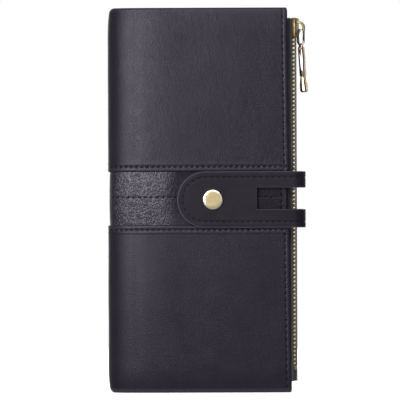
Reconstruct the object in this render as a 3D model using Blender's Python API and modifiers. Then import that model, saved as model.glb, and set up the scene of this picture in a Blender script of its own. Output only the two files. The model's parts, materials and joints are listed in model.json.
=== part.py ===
import math

import bmesh
import bpy
from mathutils import Vector

# Sizes in metres. X runs from the spine to the open edge, Y from the front cover to the back, Z up.
COVER_HEIGHT = 0.195
COVER_WIDTH = 0.0924
HALF_THICKNESS = 0.011
SPINE_SWEEP = 0.020
FOLD_X = 0.006
SPINE_CORNER = 0.0025
OPEN_CORNER = 0.0015

PANEL_THICKNESS = 0.0008
BAND_THICKNESS = 0.0008
LINING_THICKNESS = 0.0005
EDGE_ROUND = 0.0003
BAND_BOTTOM = 0.0846
BAND_TOP = 0.1122
BAND_LAP = 0.007
BOARD_MARGIN = 0.002
LINING_MARGIN = 0.0015

# Clearances between neighbouring pieces.
LAYER_GAP = 0.0002
FOLD_GAP = 0.0003
STRAP_GAP = 0.00025

SLOT_TIERS = 4
SLOT_STEP = 0.014
SLOT_LENGTH = 0.027
SLOT_THICKNESS = 0.0005
SLOT_SLOPE = 0.052
SLOT_SETBACK = 0.0104
FIRST_SLOT_X = COVER_WIDTH - SLOT_SETBACK
SLOT_MARGIN = 0.006

POCKET_HALF = 0.0058
POCKET_WALL = 0.001
POCKET_MARGIN = 0.005
POCKET_FOLD_X = 0.0084
POCKET_FOLD_REACH = 0.004
POCKET_CORNER = 0.003
FRONT_WALL_SETBACK = 0.0004
BACK_WALL_REACH = 0.0032
FRONT_WALL_END = COVER_WIDTH - FRONT_WALL_SETBACK
BACK_WALL_END = COVER_WIDTH + BACK_WALL_REACH
GUSSET_THICKNESS = 0.0005
GUSSET_DEPTH = 0.006
GUSSET_SETBACK = 0.0084
GUSSET_END = COVER_WIDTH - GUSSET_SETBACK
DIVIDER_THICKNESS = 0.0006

# The zip lies in a plane turned slightly towards the front. U runs across it and N out of it.
ZIP_REACH = 0.0018
ZIP_X = COVER_WIDTH + ZIP_REACH
ZIP_TILT = math.radians(20)
TAPE_THICKNESS = 0.0005
TAPE_REACH = 0.0077
TAPE_SEW_X = ZIP_X - TAPE_REACH
TAPE_MARGIN = 0.0055
TOOTH_PITCH = 0.00208
TOOTH_LENGTH = 0.00075
TOOTH_HALF_DEPTH = 0.0010
TOOTH_LEG = 0.0022
TOOTH_HEAD = 0.0009
CORD_OUTER = 0.0015
CORD_INNER = 0.0011
TEETH_BOTTOM = 0.0136
STOP_LENGTH = 0.0022
STOP_GAP = 0.0004

SLIDER_LENGTH = 0.010
SLIDER_NOSE = 0.0034
SLIDER_TOP = COVER_HEIGHT - POCKET_MARGIN
TEETH_TOP = SLIDER_TOP - SLIDER_NOSE
SLIDER_PLATE = 0.0009
SLIDER_FLANGE = 0.0006
SLIDER_SHOULDER = 0.0002
SLIDER_CLEARANCE = 0.0003
TAPE_SLOT_HALF = 0.0005
POST_HALF_WIDTH = 0.0008
CROWN_REACH = 0.0041
CROWN_HALF_LENGTH = 0.00375
CROWN_WIRE = 0.0011
CROWN_HALF_WIDTH = 0.0008
CROWN_SQUARENESS = 2.6

LINK_BAR_RADIUS = 0.0006
LINK_PLATE = 0.0007
LINK_HALF_WIDTH = 0.0016
LINK_DROP = 0.0059
LINK_OVERHANG = 0.0011
LINK_N = 0.0042
TAB_LEAN = math.radians(4)
TAB_LENGTH = 0.0246
TAB_HALF_DEPTH = 0.0011
TAB_HALF_WIDTH = 0.0018
TAB_SQUARENESS = 3.5
TAB_SIDES = 16
TAB_SHOULDER = 0.0006
TAB_END_LENGTH = 0.0072
TAB_BLOCK_LENGTH = 0.0031
TAB_WAIST = 0.0002
TAB_END_FLARE = 0.0002
TAB_END_ROUND = 0.0006
TAB_EYE_RADIUS = 0.0016
TAB_CLEARANCE = 0.0003
RIVET_DROP = 0.0032
RIVET_RADIUS = 0.0005
RIVET_HEAD_RADIUS = 0.0008
RIVET_HEAD = 0.0003

STRAP_FACE = 0.0012
STRAP_BACKING = 0.0010
WINDOW_BOTTOM = 0.0929
WINDOW_TOP = 0.10375
LOWER_PRONG = 0.00935
UPPER_PRONG = 0.0083
STRAP_BOTTOM = WINDOW_BOTTOM - LOWER_PRONG
STRAP_TOP = WINDOW_TOP + UPPER_PRONG
WINDOW_X = 0.0755
STRAP_TIP_X = 0.0351
STRAP_REACH = 0.0078
STRAP_OUTER_X = COVER_WIDTH + STRAP_REACH
STRAP_BEND = 0.006
BASE_TIP_X = 0.050
STRAP_EDGE = 0.00035

SNAP_X = 0.0531
CAP_RADIUS = 0.00515
CAP_HEIGHT = 0.0014
CAP_SHANK_RADIUS = 0.0011
SOCKET_RADIUS = 0.0046
SOCKET_BORE = 0.0026
STUD_RADIUS = 0.0019
STUD_FLANGE_RADIUS = 0.0036
STUD_FLANGE = 0.00025
STUD_SHANK_RADIUS = 0.0010
SNAP_GAP = 0.0001
SNAP_CLEARANCE = 0.0003

# Middle of the whole object's box, which becomes the origin.
CENTRE_X = 0.050653
CENTRE_Y = -(CAP_HEIGHT + SNAP_GAP) / 2

for old in list(bpy.data.objects):
    bpy.data.objects.remove(old, do_unlink=True)

wallet = bpy.data.collections.new("long_wallet")
cutters = bpy.data.collections.new("cutters")
bpy.context.scene.collection.children.link(wallet)
bpy.context.scene.collection.children.link(cutters)


def material(name, colour, roughness, metallic=0.0):
    made = bpy.data.materials.new(name)
    made.use_nodes = True
    shader = made.node_tree.nodes["Principled BSDF"]
    shader.inputs["Base Color"].default_value = (*colour, 1.0)
    shader.inputs["Roughness"].default_value = roughness
    shader.inputs["Metallic"].default_value = metallic
    made.diffuse_color = (*colour, 1.0)
    return made


smooth_leather = material("smooth_leather", (0.040, 0.036, 0.048), 0.50)
pebbled_leather = material("pebbled_leather", (0.046, 0.041, 0.052), 0.55)
strap_leather = material("strap_leather", (0.030, 0.027, 0.034), 0.50)
lining_cloth = material("lining_cloth", (0.055, 0.050, 0.062), 0.85)
board = material("board", (0.32, 0.26, 0.19), 0.90)
tape_cloth = material("tape_cloth", (0.030, 0.028, 0.034), 0.85)
brass = material("brass", (0.56, 0.42, 0.20), 0.30, 1.0)
gold = material("gold", (0.66, 0.52, 0.27), 0.28, 1.0)
nickel = material("nickel", (0.72, 0.68, 0.62), 0.20, 1.0)


def keep(name, mesh_builder, look, collection=wallet, place=(0.0, 0.0, 0.0), turn=(0.0, 0.0, 0.0), smooth=False):
    mesh = bpy.data.meshes.new(name)
    bmesh.ops.recalc_face_normals(mesh_builder, faces=mesh_builder.faces)
    mesh_builder.to_mesh(mesh)
    mesh_builder.free()
    made = bpy.data.objects.new(name, mesh)
    made.location = Vector(place) - Vector((CENTRE_X, CENTRE_Y, 0.0))
    made.rotation_euler = turn
    collection.objects.link(made)
    if look:
        mesh.materials.append(look)
    if smooth:
        mesh.shade_smooth()
    if collection is cutters:
        made.hide_render = True
        made.display_type = 'WIRE'
    return made


def loft(rings):
    builder = bmesh.new()
    loops = [[builder.verts.new(point) for point in ring] for ring in rings]
    for near, far in zip(loops, loops[1:]):
        for index in range(len(near)):
            after = (index + 1) % len(near)
            builder.faces.new((near[index], near[after], far[after], far[index]))
    builder.faces.new(loops[0])
    builder.faces.new(loops[-1])
    return builder


def prism(outline, axis, low, high):
    if axis == 'X':
        rings = [[(end, a, b) for a, b in outline] for end in (low, high)]
    elif axis == 'Y':
        rings = [[(a, end, b) for a, b in outline] for end in (low, high)]
    else:
        rings = [[(a, b, end) for a, b in outline] for end in (low, high)]
    return loft(rings)


def box(low, high):
    outline = [(low[0], low[1]), (high[0], low[1]), (high[0], high[1]), (low[0], high[1])]
    return prism(outline, 'Z', low[2], high[2])


def lathe(profile, axis, steps=24, closed=False):
    # Profile points are (radius, distance along the axis). An open profile starts and ends on the axis.
    builder = bmesh.new()
    rows = []
    for radius, along in profile:
        row = []
        for step in range(steps if radius > 0.0 else 1):
            angle = 2.0 * math.pi * step / steps
            a = radius * math.cos(angle)
            b = radius * math.sin(angle)
            row.append(builder.verts.new((a, along, b) if axis == 'Y' else (a, b, along)))
        rows.append(row)
    pairs = list(zip(rows, rows[1:]))
    if closed:
        pairs.append((rows[-1], rows[0]))
    for near, far in pairs:
        for step in range(steps):
            after = (step + 1) % steps
            corners = [near[step % len(near)], near[after % len(near)], far[after % len(far)], far[step % len(far)]]
            builder.faces.new(list(dict.fromkeys(corners)))
    return builder


def boolean(target, tool, operation):
    change = target.modifiers.new(operation.lower(), 'BOOLEAN')
    change.operation = operation
    change.solver = 'EXACT'
    change.object = tool


def rounded_edges(target, width, segments=2):
    change = target.modifiers.new("edges", 'BEVEL')
    change.width = width
    change.segments = segments
    change.limit_method = 'ANGLE'
    change.angle_limit = math.radians(50)


def arc(centre, radius, start, end, steps):
    points = []
    for step in range(steps + 1):
        angle = math.radians(start + (end - start) * step / steps)
        points.append((centre[0] + radius * math.cos(angle), centre[1] + radius * math.sin(angle)))
    return points


def ribbon(path, thickness):
    # Closed outline of a strip that follows a path in the plane, mitred at its bends.
    points = [Vector(point) for point in path]
    left = []
    right = []
    for index, point in enumerate(points):
        into = (point - points[index - 1]).normalized() if index else None
        out = (points[index + 1] - point).normalized() if index + 1 < len(points) else None
        if into is None or out is None:
            along = out or into
            side = Vector((-along.y, along.x)) * thickness / 2
        else:
            bisector = (into + out).normalized()
            side = Vector((-bisector.y, bisector.x))
            side *= thickness / 2 / side.dot(Vector((-into.y, into.x)))
        left.append(tuple(point + side))
        right.append(tuple(point - side))
    return left + right[::-1]


# The covers and spine follow one plan curve: half an ellipse at the spine, then two flat covers.
def fold_angle():
    return math.acos(1.0 - FOLD_X / SPINE_SWEEP)


def curve_point(angle, depth):
    normal = Vector((-math.cos(angle) / SPINE_SWEEP, math.sin(angle) / HALF_THICKNESS)).normalized()
    outside = Vector((SPINE_SWEEP * (1.0 - math.cos(angle)), HALF_THICKNESS * math.sin(angle)))
    return outside - normal * depth


def fold_step():
    speed = math.hypot(SPINE_SWEEP * math.sin(fold_angle()), HALF_THICKNESS * math.cos(fold_angle()))
    return FOLD_GAP / 2 / speed


def corner_drop(x):
    if x < SPINE_CORNER:
        radius = SPINE_CORNER
        into = SPINE_CORNER - x
    else:
        radius = OPEN_CORNER
        into = max(0.0, x - (COVER_WIDTH - OPEN_CORNER))
    return radius - math.sqrt(max(radius * radius - into * into, 0.0))


def sheet_ring(place, low, high, outer, inner, rounding):
    soft = rounding * 0.3
    section = [
        (inner, low), (outer + rounding, low), (outer + soft, low + soft), (outer, low + rounding),
        (outer, high - rounding), (outer + soft, high - soft), (outer + rounding, high), (inner, high),
    ]
    return [(*place(depth), z) for depth, z in section]


def z_span(low, high, x):
    drop = corner_drop(x)
    bottom = drop if low <= 0.0 else low
    top = COVER_HEIGHT - drop if high >= COVER_HEIGHT else high
    return bottom, top


def cover_sheet(side, low, high, outer, inner, end_x, rounding):
    rings = []
    start = fold_angle() + fold_step()
    for step in range(7):
        angle = start + (math.pi / 2 - start) * step / 6

        def place(depth, angle=angle):
            point = curve_point(angle, depth)
            return point.x, side * point.y

        bottom, top = z_span(low, high, place(0.0)[0])
        rings.append(sheet_ring(place, bottom, top, outer, inner, rounding))
    for step in range(4):
        turn = math.pi / 2 * step / 3
        x = end_x - OPEN_CORNER * (1.0 - math.sin(turn))
        dip = rounding * (1.0 - math.cos(turn))

        def place(depth, x=x):
            return x, side * (HALF_THICKNESS - depth)

        bottom, top = z_span(low, high, x)
        rings.append(sheet_ring(place, bottom, top, outer + dip, inner, rounding))
    return loft(rings)


def spine_sheet(low, high, outer, inner, rounding):
    rings = []
    reach = fold_angle() - fold_step()
    for step in range(15):
        angle = reach * (2.0 * step / 14 - 1.0)

        def place(depth, angle=angle):
            return tuple(curve_point(angle, depth))

        bottom, top = z_span(low, high, place(0.0)[0])
        rings.append(sheet_ring(place, bottom, top, outer, inner, rounding))
    return loft(rings)


band_outer = PANEL_THICKNESS + LAYER_GAP
band_inner = band_outer + BAND_THICKNESS
lining_outer = band_inner + LAYER_GAP
lining_inner = lining_outer + LINING_THICKNESS
band_low = BAND_BOTTOM - BAND_LAP
band_high = BAND_TOP + BAND_LAP
inner_end = COVER_WIDTH - LINING_MARGIN

for label, side in (("front", -1.0), ("back", 1.0)):
    keep(label + "_upper_panel",
         cover_sheet(side, BAND_TOP, COVER_HEIGHT, 0.0, PANEL_THICKNESS, COVER_WIDTH, EDGE_ROUND), smooth_leather)
    keep(label + "_lower_panel",
         cover_sheet(side, 0.0, BAND_BOTTOM, 0.0, PANEL_THICKNESS, COVER_WIDTH, EDGE_ROUND), smooth_leather)
    keep(label + "_band",
         cover_sheet(side, band_low, band_high, band_outer, band_inner, inner_end, EDGE_ROUND), pebbled_leather)
    keep(label + "_lining",
         cover_sheet(side, LINING_MARGIN, COVER_HEIGHT - LINING_MARGIN, lining_outer, lining_inner, inner_end, EDGE_ROUND / 2),
         lining_cloth)
    near = side * (HALF_THICKNESS - band_outer)
    far = side * (HALF_THICKNESS - band_inner)
    for level, low, high in (("upper", band_high + LAYER_GAP, COVER_HEIGHT - BOARD_MARGIN),
                             ("lower", BOARD_MARGIN, band_low - LAYER_GAP)):
        keep(label + "_" + level + "_board",
             box((SPINE_SWEEP, min(near, far), low), (COVER_WIDTH - BOARD_MARGIN, max(near, far), high)), board)

keep("spine_upper_panel", spine_sheet(BAND_TOP, COVER_HEIGHT, 0.0, PANEL_THICKNESS, EDGE_ROUND), smooth_leather)
keep("spine_lower_panel", spine_sheet(0.0, BAND_BOTTOM, 0.0, PANEL_THICKNESS, EDGE_ROUND), smooth_leather)
keep("spine_band", spine_sheet(band_low, band_high, band_outer, band_inner, EDGE_ROUND), pebbled_leather)
lining_foot = SPINE_CORNER + LINING_MARGIN
keep("spine_lining", spine_sheet(lining_foot, COVER_HEIGHT - lining_foot, lining_outer, lining_inner, EDGE_ROUND / 2),
     lining_cloth)

# Card slots: overlapping tiers on the front lining, each opening towards the open edge.
slot_floor = -HALF_THICKNESS + lining_inner + LAYER_GAP
for tier in range(SLOT_TIERS):
    mouth = FIRST_SLOT_X - SLOT_STEP * tier
    tail = max(mouth - SLOT_LENGTH, SPINE_SWEEP)
    high = slot_floor + SLOT_SLOPE * SLOT_LENGTH
    low = high - SLOT_SLOPE * (mouth - tail)
    section = [(tail, low), (mouth, high), (mouth, high + SLOT_THICKNESS), (tail, low + SLOT_THICKNESS)]
    keep("card_slot_" + str(tier + 1), prism(section, 'Z', SLOT_MARGIN, COVER_HEIGHT - SLOT_MARGIN), smooth_leather)

# Zip pocket between the covers.
pocket_low = POCKET_MARGIN
pocket_high = COVER_HEIGHT - POCKET_MARGIN
pocket_inside = POCKET_HALF - POCKET_WALL
wall_start = POCKET_FOLD_X + POCKET_FOLD_REACH + LAYER_GAP


def wall(end_x):
    radius = POCKET_CORNER
    outline = [(wall_start, pocket_high), (wall_start, pocket_low)]
    outline += arc((end_x - radius, pocket_low + radius), radius, 270, 360, 5)
    outline += arc((end_x - radius, pocket_high - radius), radius, 0, 90, 5)
    return outline


keep("pocket_front_wall", prism(wall(FRONT_WALL_END), 'Y', -POCKET_HALF, -pocket_inside), smooth_leather)
keep("pocket_back_wall", prism(wall(BACK_WALL_END), 'Y', pocket_inside, POCKET_HALF), smooth_leather)

fold_outside = []
fold_inside = []
for step in range(13):
    angle = math.pi * (step / 12 - 0.5)
    middle = POCKET_FOLD_X + POCKET_FOLD_REACH
    fold_outside.append((middle - POCKET_FOLD_REACH * math.cos(angle), POCKET_HALF * math.sin(angle)))
    fold_inside.append((middle - (POCKET_FOLD_REACH - POCKET_WALL) * math.cos(angle), pocket_inside * math.sin(angle)))
keep("pocket_fold", prism(fold_outside + fold_inside[::-1], 'Z', pocket_low, pocket_high), smooth_leather)

gusset_half = pocket_inside - LAYER_GAP - GUSSET_THICKNESS
for level, edge, inward in (("top", pocket_high, -1.0), ("bottom", pocket_low, 1.0)):
    rim = edge + inward * GUSSET_THICKNESS
    path = [(-gusset_half, rim), (0.0, rim + inward * GUSSET_DEPTH), (gusset_half, rim)]
    keep("pocket_" + level + "_gusset",
         prism(ribbon(path, GUSSET_THICKNESS), 'X', wall_start + LAYER_GAP, GUSSET_END), lining_cloth)

# Bill space between the pocket and the back cover.
back_inside = HALF_THICKNESS - lining_inner
divider_y = back_inside - LAYER_GAP - DIVIDER_THICKNESS
divider_trim = POCKET_MARGIN + GUSSET_DEPTH + GUSSET_THICKNESS * 3
keep("bill_divider",
     box((SPINE_SWEEP, divider_y, divider_trim),
         (COVER_WIDTH - BOARD_MARGIN, divider_y + DIVIDER_THICKNESS, COVER_HEIGHT - divider_trim)),
     lining_cloth)
bill_low = POCKET_HALF + LAYER_GAP + GUSSET_THICKNESS
bill_high = back_inside - LAYER_GAP - GUSSET_THICKNESS
for level, edge, inward in (("top", pocket_high, -1.0), ("bottom", pocket_low, 1.0)):
    rim = edge + inward * GUSSET_THICKNESS
    path = [(bill_low, rim), ((bill_low + bill_high) / 2, rim + inward * GUSSET_DEPTH * 0.6), (bill_high, rim)]
    keep("bill_" + level + "_gusset",
         prism(ribbon(path, GUSSET_THICKNESS), 'X', SPINE_SWEEP, GUSSET_END), lining_cloth)

# Zip chain, built in its own plane: local X is N, local Y is U.
zip_place = (ZIP_X, 0.0, 0.0)
zip_turn = (0.0, 0.0, -ZIP_TILT)
across = Vector((math.sin(ZIP_TILT), math.cos(ZIP_TILT)))
tape_low = TAPE_MARGIN
tape_high = COVER_HEIGHT - TAPE_MARGIN
tape_inner = TOOTH_LEG + LAYER_GAP
tape_y = pocket_inside - LAYER_GAP - TAPE_THICKNESS / 2
for label, side in (("front", -1.0), ("back", 1.0)):
    begin = Vector((ZIP_X, 0.0)) + across * side * tape_inner
    bend = Vector((ZIP_X, 0.0)) + across * side * (tape_y / math.cos(ZIP_TILT))
    path = [tuple(begin), tuple(bend), (TAPE_SEW_X, side * tape_y)]
    keep("zip_tape_" + label, prism(ribbon(path, TAPE_THICKNESS), 'Z', tape_low, tape_high), tape_cloth)

tooth_count = int((TEETH_TOP - TEETH_BOTTOM) / TOOTH_PITCH)


def tooth_row(side, shift):
    heads = []
    legs = []
    for index in range(tooth_count):
        low = TEETH_BOTTOM + shift + TOOTH_PITCH * index
        high = low + TOOTH_LENGTH
        heads += [(-CORD_INNER, low), (TOOTH_HEAD, low), (TOOTH_HEAD, high), (-CORD_INNER, high)]
        legs += [(-CORD_OUTER, low), (-TOOTH_LEG, low), (-TOOTH_LEG, high), (-CORD_OUTER, high)]
    outline = [(-side * u, z) for u, z in heads + legs[::-1]]
    builder = prism(outline, 'X', -TOOTH_HALF_DEPTH, TOOTH_HALF_DEPTH)
    return builder


keep("zip_teeth_front", tooth_row(-1.0, 0.0), brass, place=zip_place, turn=zip_turn)
keep("zip_teeth_back", tooth_row(1.0, TOOTH_PITCH / 2), brass, place=zip_place, turn=zip_turn)

stop_depth = TOOTH_HALF_DEPTH * 0.8
stop_low = TEETH_TOP + STOP_GAP
for label, side in (("front", -1.0), ("back", 1.0)):
    inner = side * (POST_HALF_WIDTH + SLIDER_CLEARANCE)
    outer = side * TOOTH_LEG
    keep("zip_top_stop_" + label,
         box((-stop_depth, min(inner, outer), stop_low), (stop_depth, max(inner, outer), stop_low + STOP_LENGTH)),
         brass, place=zip_place, turn=zip_turn)
keep("zip_bottom_stop",
     box((-TOOTH_HALF_DEPTH, -TOOTH_LEG, TEETH_BOTTOM - STOP_GAP - STOP_LENGTH),
         (TOOTH_HALF_DEPTH, TOOTH_LEG, TEETH_BOTTOM - STOP_GAP)),
     brass, place=zip_place, turn=zip_turn)

# Slider: two flanged plates joined by the post at its nose, with the crown on the outer plate.
channel = TOOTH_HALF_DEPTH + SLIDER_CLEARANCE
plate_face = channel + SLIDER_PLATE
slot_half_width = TOOTH_LEG + SLIDER_CLEARANCE
slider_low = SLIDER_TOP - SLIDER_LENGTH


def slider_half(side):
    rings = []
    for rise, spread, trim in ((0.0, 0.0, 0.5), (0.08, 0.0, 0.0), (0.45, 0.0, 0.0), (0.75, 1.0, 0.0),
                               (0.92, 1.0, 0.0), (1.0, 1.0, 0.6)):
        inside = slot_half_width + spread * SLIDER_SHOULDER
        outside = inside + SLIDER_FLANGE * (1.0 - trim)
        face = plate_face - trim * SLIDER_PLATE * 0.4
        section = [(channel, -inside), (TAPE_SLOT_HALF, -inside), (TAPE_SLOT_HALF, -outside), (face, -outside),
                   (face, outside), (TAPE_SLOT_HALF, outside), (TAPE_SLOT_HALF, inside), (channel, inside)]
        z = slider_low + SLIDER_LENGTH * rise
        rings.append([(side * n, u, z) for n, u in section])
    return loft(rings)


slider = keep("slider_body", slider_half(1.0), brass, place=zip_place, turn=zip_turn)
inner_half = keep("slider_inner_half", slider_half(-1.0), brass, cutters, zip_place, zip_turn)
post_low = stop_low + SLIDER_CLEARANCE
post = keep("slider_post",
            prism([(0.0, post_low), (POST_HALF_WIDTH, post_low + POST_HALF_WIDTH), (POST_HALF_WIDTH, SLIDER_TOP - EDGE_ROUND),
                   (-POST_HALF_WIDTH, SLIDER_TOP - EDGE_ROUND), (-POST_HALF_WIDTH, post_low + POST_HALF_WIDTH)],
                  'X', -channel - SLIDER_PLATE / 2, channel + SLIDER_PLATE / 2), brass, cutters, zip_place, zip_turn)

crown_z = SLIDER_TOP - SLIDER_LENGTH * 0.535
crown_foot = plate_face - SLIDER_PLATE / 2


def crown_arc(reach, half_length, steps=16):
    points = []
    for step in range(steps + 1):
        angle = math.pi * (step / steps - 0.5)
        out = abs(math.cos(angle)) ** (2.0 / CROWN_SQUARENESS)
        along = math.copysign(abs(math.sin(angle)) ** (2.0 / CROWN_SQUARENESS), angle)
        points.append((plate_face + reach * out, crown_z + half_length * along))
    points[0] = (crown_foot, points[0][1])
    points[-1] = (crown_foot, points[-1][1])
    return points


def crown_outline():
    return crown_arc(CROWN_REACH, CROWN_HALF_LENGTH) + crown_arc(CROWN_REACH - CROWN_WIRE, CROWN_HALF_LENGTH - CROWN_WIRE)[::-1]


crown = keep("slider_crown",
             loft([[(n, end, z) for n, z in crown_outline()] for end in (-CROWN_HALF_WIDTH, CROWN_HALF_WIDTH)]),
             brass, cutters, zip_place, zip_turn)
for tool in (inner_half, post, crown):
    boolean(slider, tool, 'UNION')

# Link: two side plates on two bars. The upper bar hangs in the crown, the lower one carries the tab.
hole_reach = (LINK_N - plate_face) / (CROWN_REACH - CROWN_WIRE)
hole_drop = (CROWN_HALF_LENGTH - CROWN_WIRE) * (1.0 - hole_reach ** CROWN_SQUARENESS) ** (1.0 / CROWN_SQUARENESS)
link_z = crown_z - hole_drop + LINK_BAR_RADIUS + SLIDER_CLEARANCE
link_inside = CROWN_HALF_WIDTH + SLIDER_CLEARANCE
link_outside = link_inside + LINK_PLATE
zip_out = Vector((math.cos(ZIP_TILT), -math.sin(ZIP_TILT)))
link_place = (ZIP_X + zip_out.x * LINK_N, zip_out.y * LINK_N, link_z)


def link_plate(low, high):
    outline = arc((0.0, LINK_OVERHANG - LINK_HALF_WIDTH), LINK_HALF_WIDTH, 0, 180, 8)
    outline += arc((0.0, -LINK_DROP - LINK_OVERHANG + LINK_HALF_WIDTH), LINK_HALF_WIDTH, 180, 360, 8)
    return prism(outline, 'Y', low, high)


link = keep("pull_link", link_plate(-link_outside, -link_inside), nickel, place=link_place, turn=zip_turn)
link_tools = [keep("link_far_plate", link_plate(link_inside, link_outside), nickel, cutters, link_place, zip_turn)]
bar_end = link_inside + LINK_PLATE / 2
for label, drop in (("upper", 0.0), ("lower", -LINK_DROP)):
    place = (link_place[0], link_place[1], link_z + drop)
    profile = [(0.0, -bar_end), (LINK_BAR_RADIUS, -bar_end), (LINK_BAR_RADIUS, bar_end), (0.0, bar_end)]
    link_tools.append(keep("link_" + label + "_bar", lathe(profile, 'Y', 12), nickel, cutters, place, zip_turn))
for tool in link_tools:
    boolean(link, tool, 'UNION')

# Pull tab, leaning a little outwards as it hangs.
tab_place = (link_place[0], link_place[1], link_z - LINK_DROP)
tab_turn = (0.0, -TAB_LEAN, -ZIP_TILT)
eye_half = link_inside - TAB_CLEARANCE
neck = max(LINK_OVERHANG, LINK_HALF_WIDTH) + TAB_CLEARANCE


def tab_ring(z, half_width, growth=0.0):
    half_depth = TAB_HALF_DEPTH + growth
    half_width += growth
    ring = []
    for step in range(TAB_SIDES):
        angle = math.tau * (step + 0.5) / TAB_SIDES
        out = math.copysign(abs(math.cos(angle)) ** (2.0 / TAB_SQUARENESS), math.cos(angle))
        across = math.copysign(abs(math.sin(angle)) ** (2.0 / TAB_SQUARENESS), math.sin(angle))
        ring.append((half_depth * out, half_width * across, z))
    return ring


# The tab narrows to a waist, then widens in a slope to the block at its end.
end_top = TAB_LENGTH - TAB_END_LENGTH
block_top = TAB_LENGTH - TAB_BLOCK_LENGTH
tab = keep("pull_tab", loft([
    tab_ring(-TAB_EYE_RADIUS * 0.6, eye_half),
    tab_ring(-neck, eye_half),
    tab_ring(-neck - TAB_SHOULDER, TAB_HALF_WIDTH),
    tab_ring(-end_top + TAB_SHOULDER, TAB_HALF_WIDTH),
    tab_ring(-end_top, TAB_HALF_WIDTH, -TAB_WAIST),
    tab_ring(-block_top, TAB_HALF_WIDTH, TAB_END_FLARE),
    tab_ring(-TAB_LENGTH + TAB_END_ROUND, TAB_HALF_WIDTH, TAB_END_FLARE),
    tab_ring(-TAB_LENGTH, TAB_HALF_WIDTH, -TAB_WAIST),
]), nickel, place=tab_place, turn=tab_turn)
eye = keep("tab_eye", lathe([(0.0, -eye_half), (TAB_EYE_RADIUS, -eye_half), (TAB_EYE_RADIUS, eye_half), (0.0, eye_half)], 'Y', 20),
           nickel, cutters, tab_place, tab_turn)
boolean(tab, eye, 'UNION')
hole_radius = LINK_BAR_RADIUS + TAB_CLEARANCE
through = TAB_HALF_WIDTH * 2
hole = keep("tab_hole", lathe([(0.0, -through), (hole_radius, -through), (hole_radius, through), (0.0, through)], 'Y', 16),
            None, cutters, tab_place, tab_turn)
boolean(tab, hole, 'DIFFERENCE')

# Rivet through the tab below its eye, in the leaning tab's own frame.
rivet_offset = Vector((-math.sin(TAB_LEAN) * -RIVET_DROP, 0.0, -math.cos(TAB_LEAN) * RIVET_DROP))
rivet_place = (tab_place[0] + zip_out.x * rivet_offset.x, tab_place[1] + zip_out.y * rivet_offset.x, tab_place[2] + rivet_offset.z)
rivet_hole_radius = RIVET_RADIUS + SNAP_CLEARANCE / 2
rivet_hole = keep("rivet_hole",
                  lathe([(0.0, -through), (rivet_hole_radius, -through), (rivet_hole_radius, through), (0.0, through)], 'Y', 12),
                  None, cutters, rivet_place, tab_turn)
boolean(tab, rivet_hole, 'DIFFERENCE')
head = TAB_HALF_WIDTH + SNAP_GAP
head_top = head + RIVET_HEAD
keep("pull_rivet", lathe([
    (0.0, -head_top), (RIVET_HEAD_RADIUS * 0.7, -head_top), (RIVET_HEAD_RADIUS, -head - RIVET_HEAD / 2), (RIVET_HEAD_RADIUS, -head),
    (RIVET_RADIUS, -head), (RIVET_RADIUS, head), (RIVET_HEAD_RADIUS, head), (RIVET_HEAD_RADIUS, head + RIVET_HEAD / 2),
    (RIVET_HEAD_RADIUS * 0.7, head_top), (0.0, head_top)], 'Y', 16), brass, place=rivet_place, turn=tab_turn)

# Strap: base on the back, two prongs round the open edge, and the tab over the front.
strap_inner = HALF_THICKNESS + STRAP_GAP
strap_thickness = STRAP_FACE + LAYER_GAP + STRAP_BACKING
strap_outer = strap_inner + strap_thickness
bend_x = STRAP_OUTER_X - STRAP_BEND
strap_middle = (STRAP_BOTTOM + STRAP_TOP) / 2
strap_radius = (STRAP_TOP - STRAP_BOTTOM) / 2


def fork(tip_x, end_x):
    outline = [(end_x, STRAP_BOTTOM), (end_x, WINDOW_BOTTOM), (WINDOW_X, WINDOW_BOTTOM), (WINDOW_X, WINDOW_TOP),
               (end_x, WINDOW_TOP), (end_x, STRAP_TOP)]
    return outline + arc((tip_x + strap_radius, strap_middle), strap_radius, 90, 270, 18)


tab_end = bend_x - FOLD_GAP / 2
face = keep("strap_face", prism(fork(STRAP_TIP_X, tab_end), 'Y', -strap_outer, -strap_outer + STRAP_FACE), strap_leather)
rounded_edges(face, STRAP_EDGE)
backing = keep("strap_backing", prism(fork(STRAP_TIP_X, tab_end), 'Y', -strap_inner - STRAP_BACKING, -strap_inner), strap_leather)
base = keep("strap_base", prism(fork(BASE_TIP_X, tab_end), 'Y', strap_inner, strap_outer), strap_leather)
rounded_edges(base, STRAP_EDGE)

bend_y = strap_outer - STRAP_BEND
inner_bend = STRAP_BEND - strap_thickness
prong_start = bend_x + FOLD_GAP / 2
prong = [(prong_start, -strap_outer)] + arc((bend_x, -bend_y), STRAP_BEND, 270, 360, 8)[1:]
prong += arc((bend_x, bend_y), STRAP_BEND, 0, 90, 8)[:-1] + [(prong_start, strap_outer), (prong_start, strap_inner)]
prong += arc((bend_x, bend_y), inner_bend, 90, 0, 8)[1:]
prong += arc((bend_x, -bend_y), inner_bend, 0, -90, 8)[:-1] + [(prong_start, -strap_inner)]
for label, low, high in (("lower", STRAP_BOTTOM, WINDOW_BOTTOM), ("upper", WINDOW_TOP, STRAP_TOP)):
    piece = keep("strap_" + label + "_prong", prism(prong, 'Z', low, high), strap_leather)
    rounded_edges(piece, STRAP_EDGE)

# Snap: cap and socket on the strap, stud on the front band.
snap_place = (SNAP_X, 0.0, strap_middle)
cap_back = -strap_outer - SNAP_GAP
band_face = -HALF_THICKNESS + band_outer
stud_top = band_face - SNAP_GAP
stud_flange_top = stud_top - STUD_FLANGE
socket_low = stud_flange_top - LAYER_GAP
socket_high = -strap_outer + STRAP_FACE + SNAP_GAP
socket_web = socket_high + STRAP_BACKING / 2
shank_end = socket_web - SNAP_GAP
stud_tip = shank_end + SNAP_CLEARANCE
shank_hole = CAP_SHANK_RADIUS + SNAP_CLEARANCE

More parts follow.
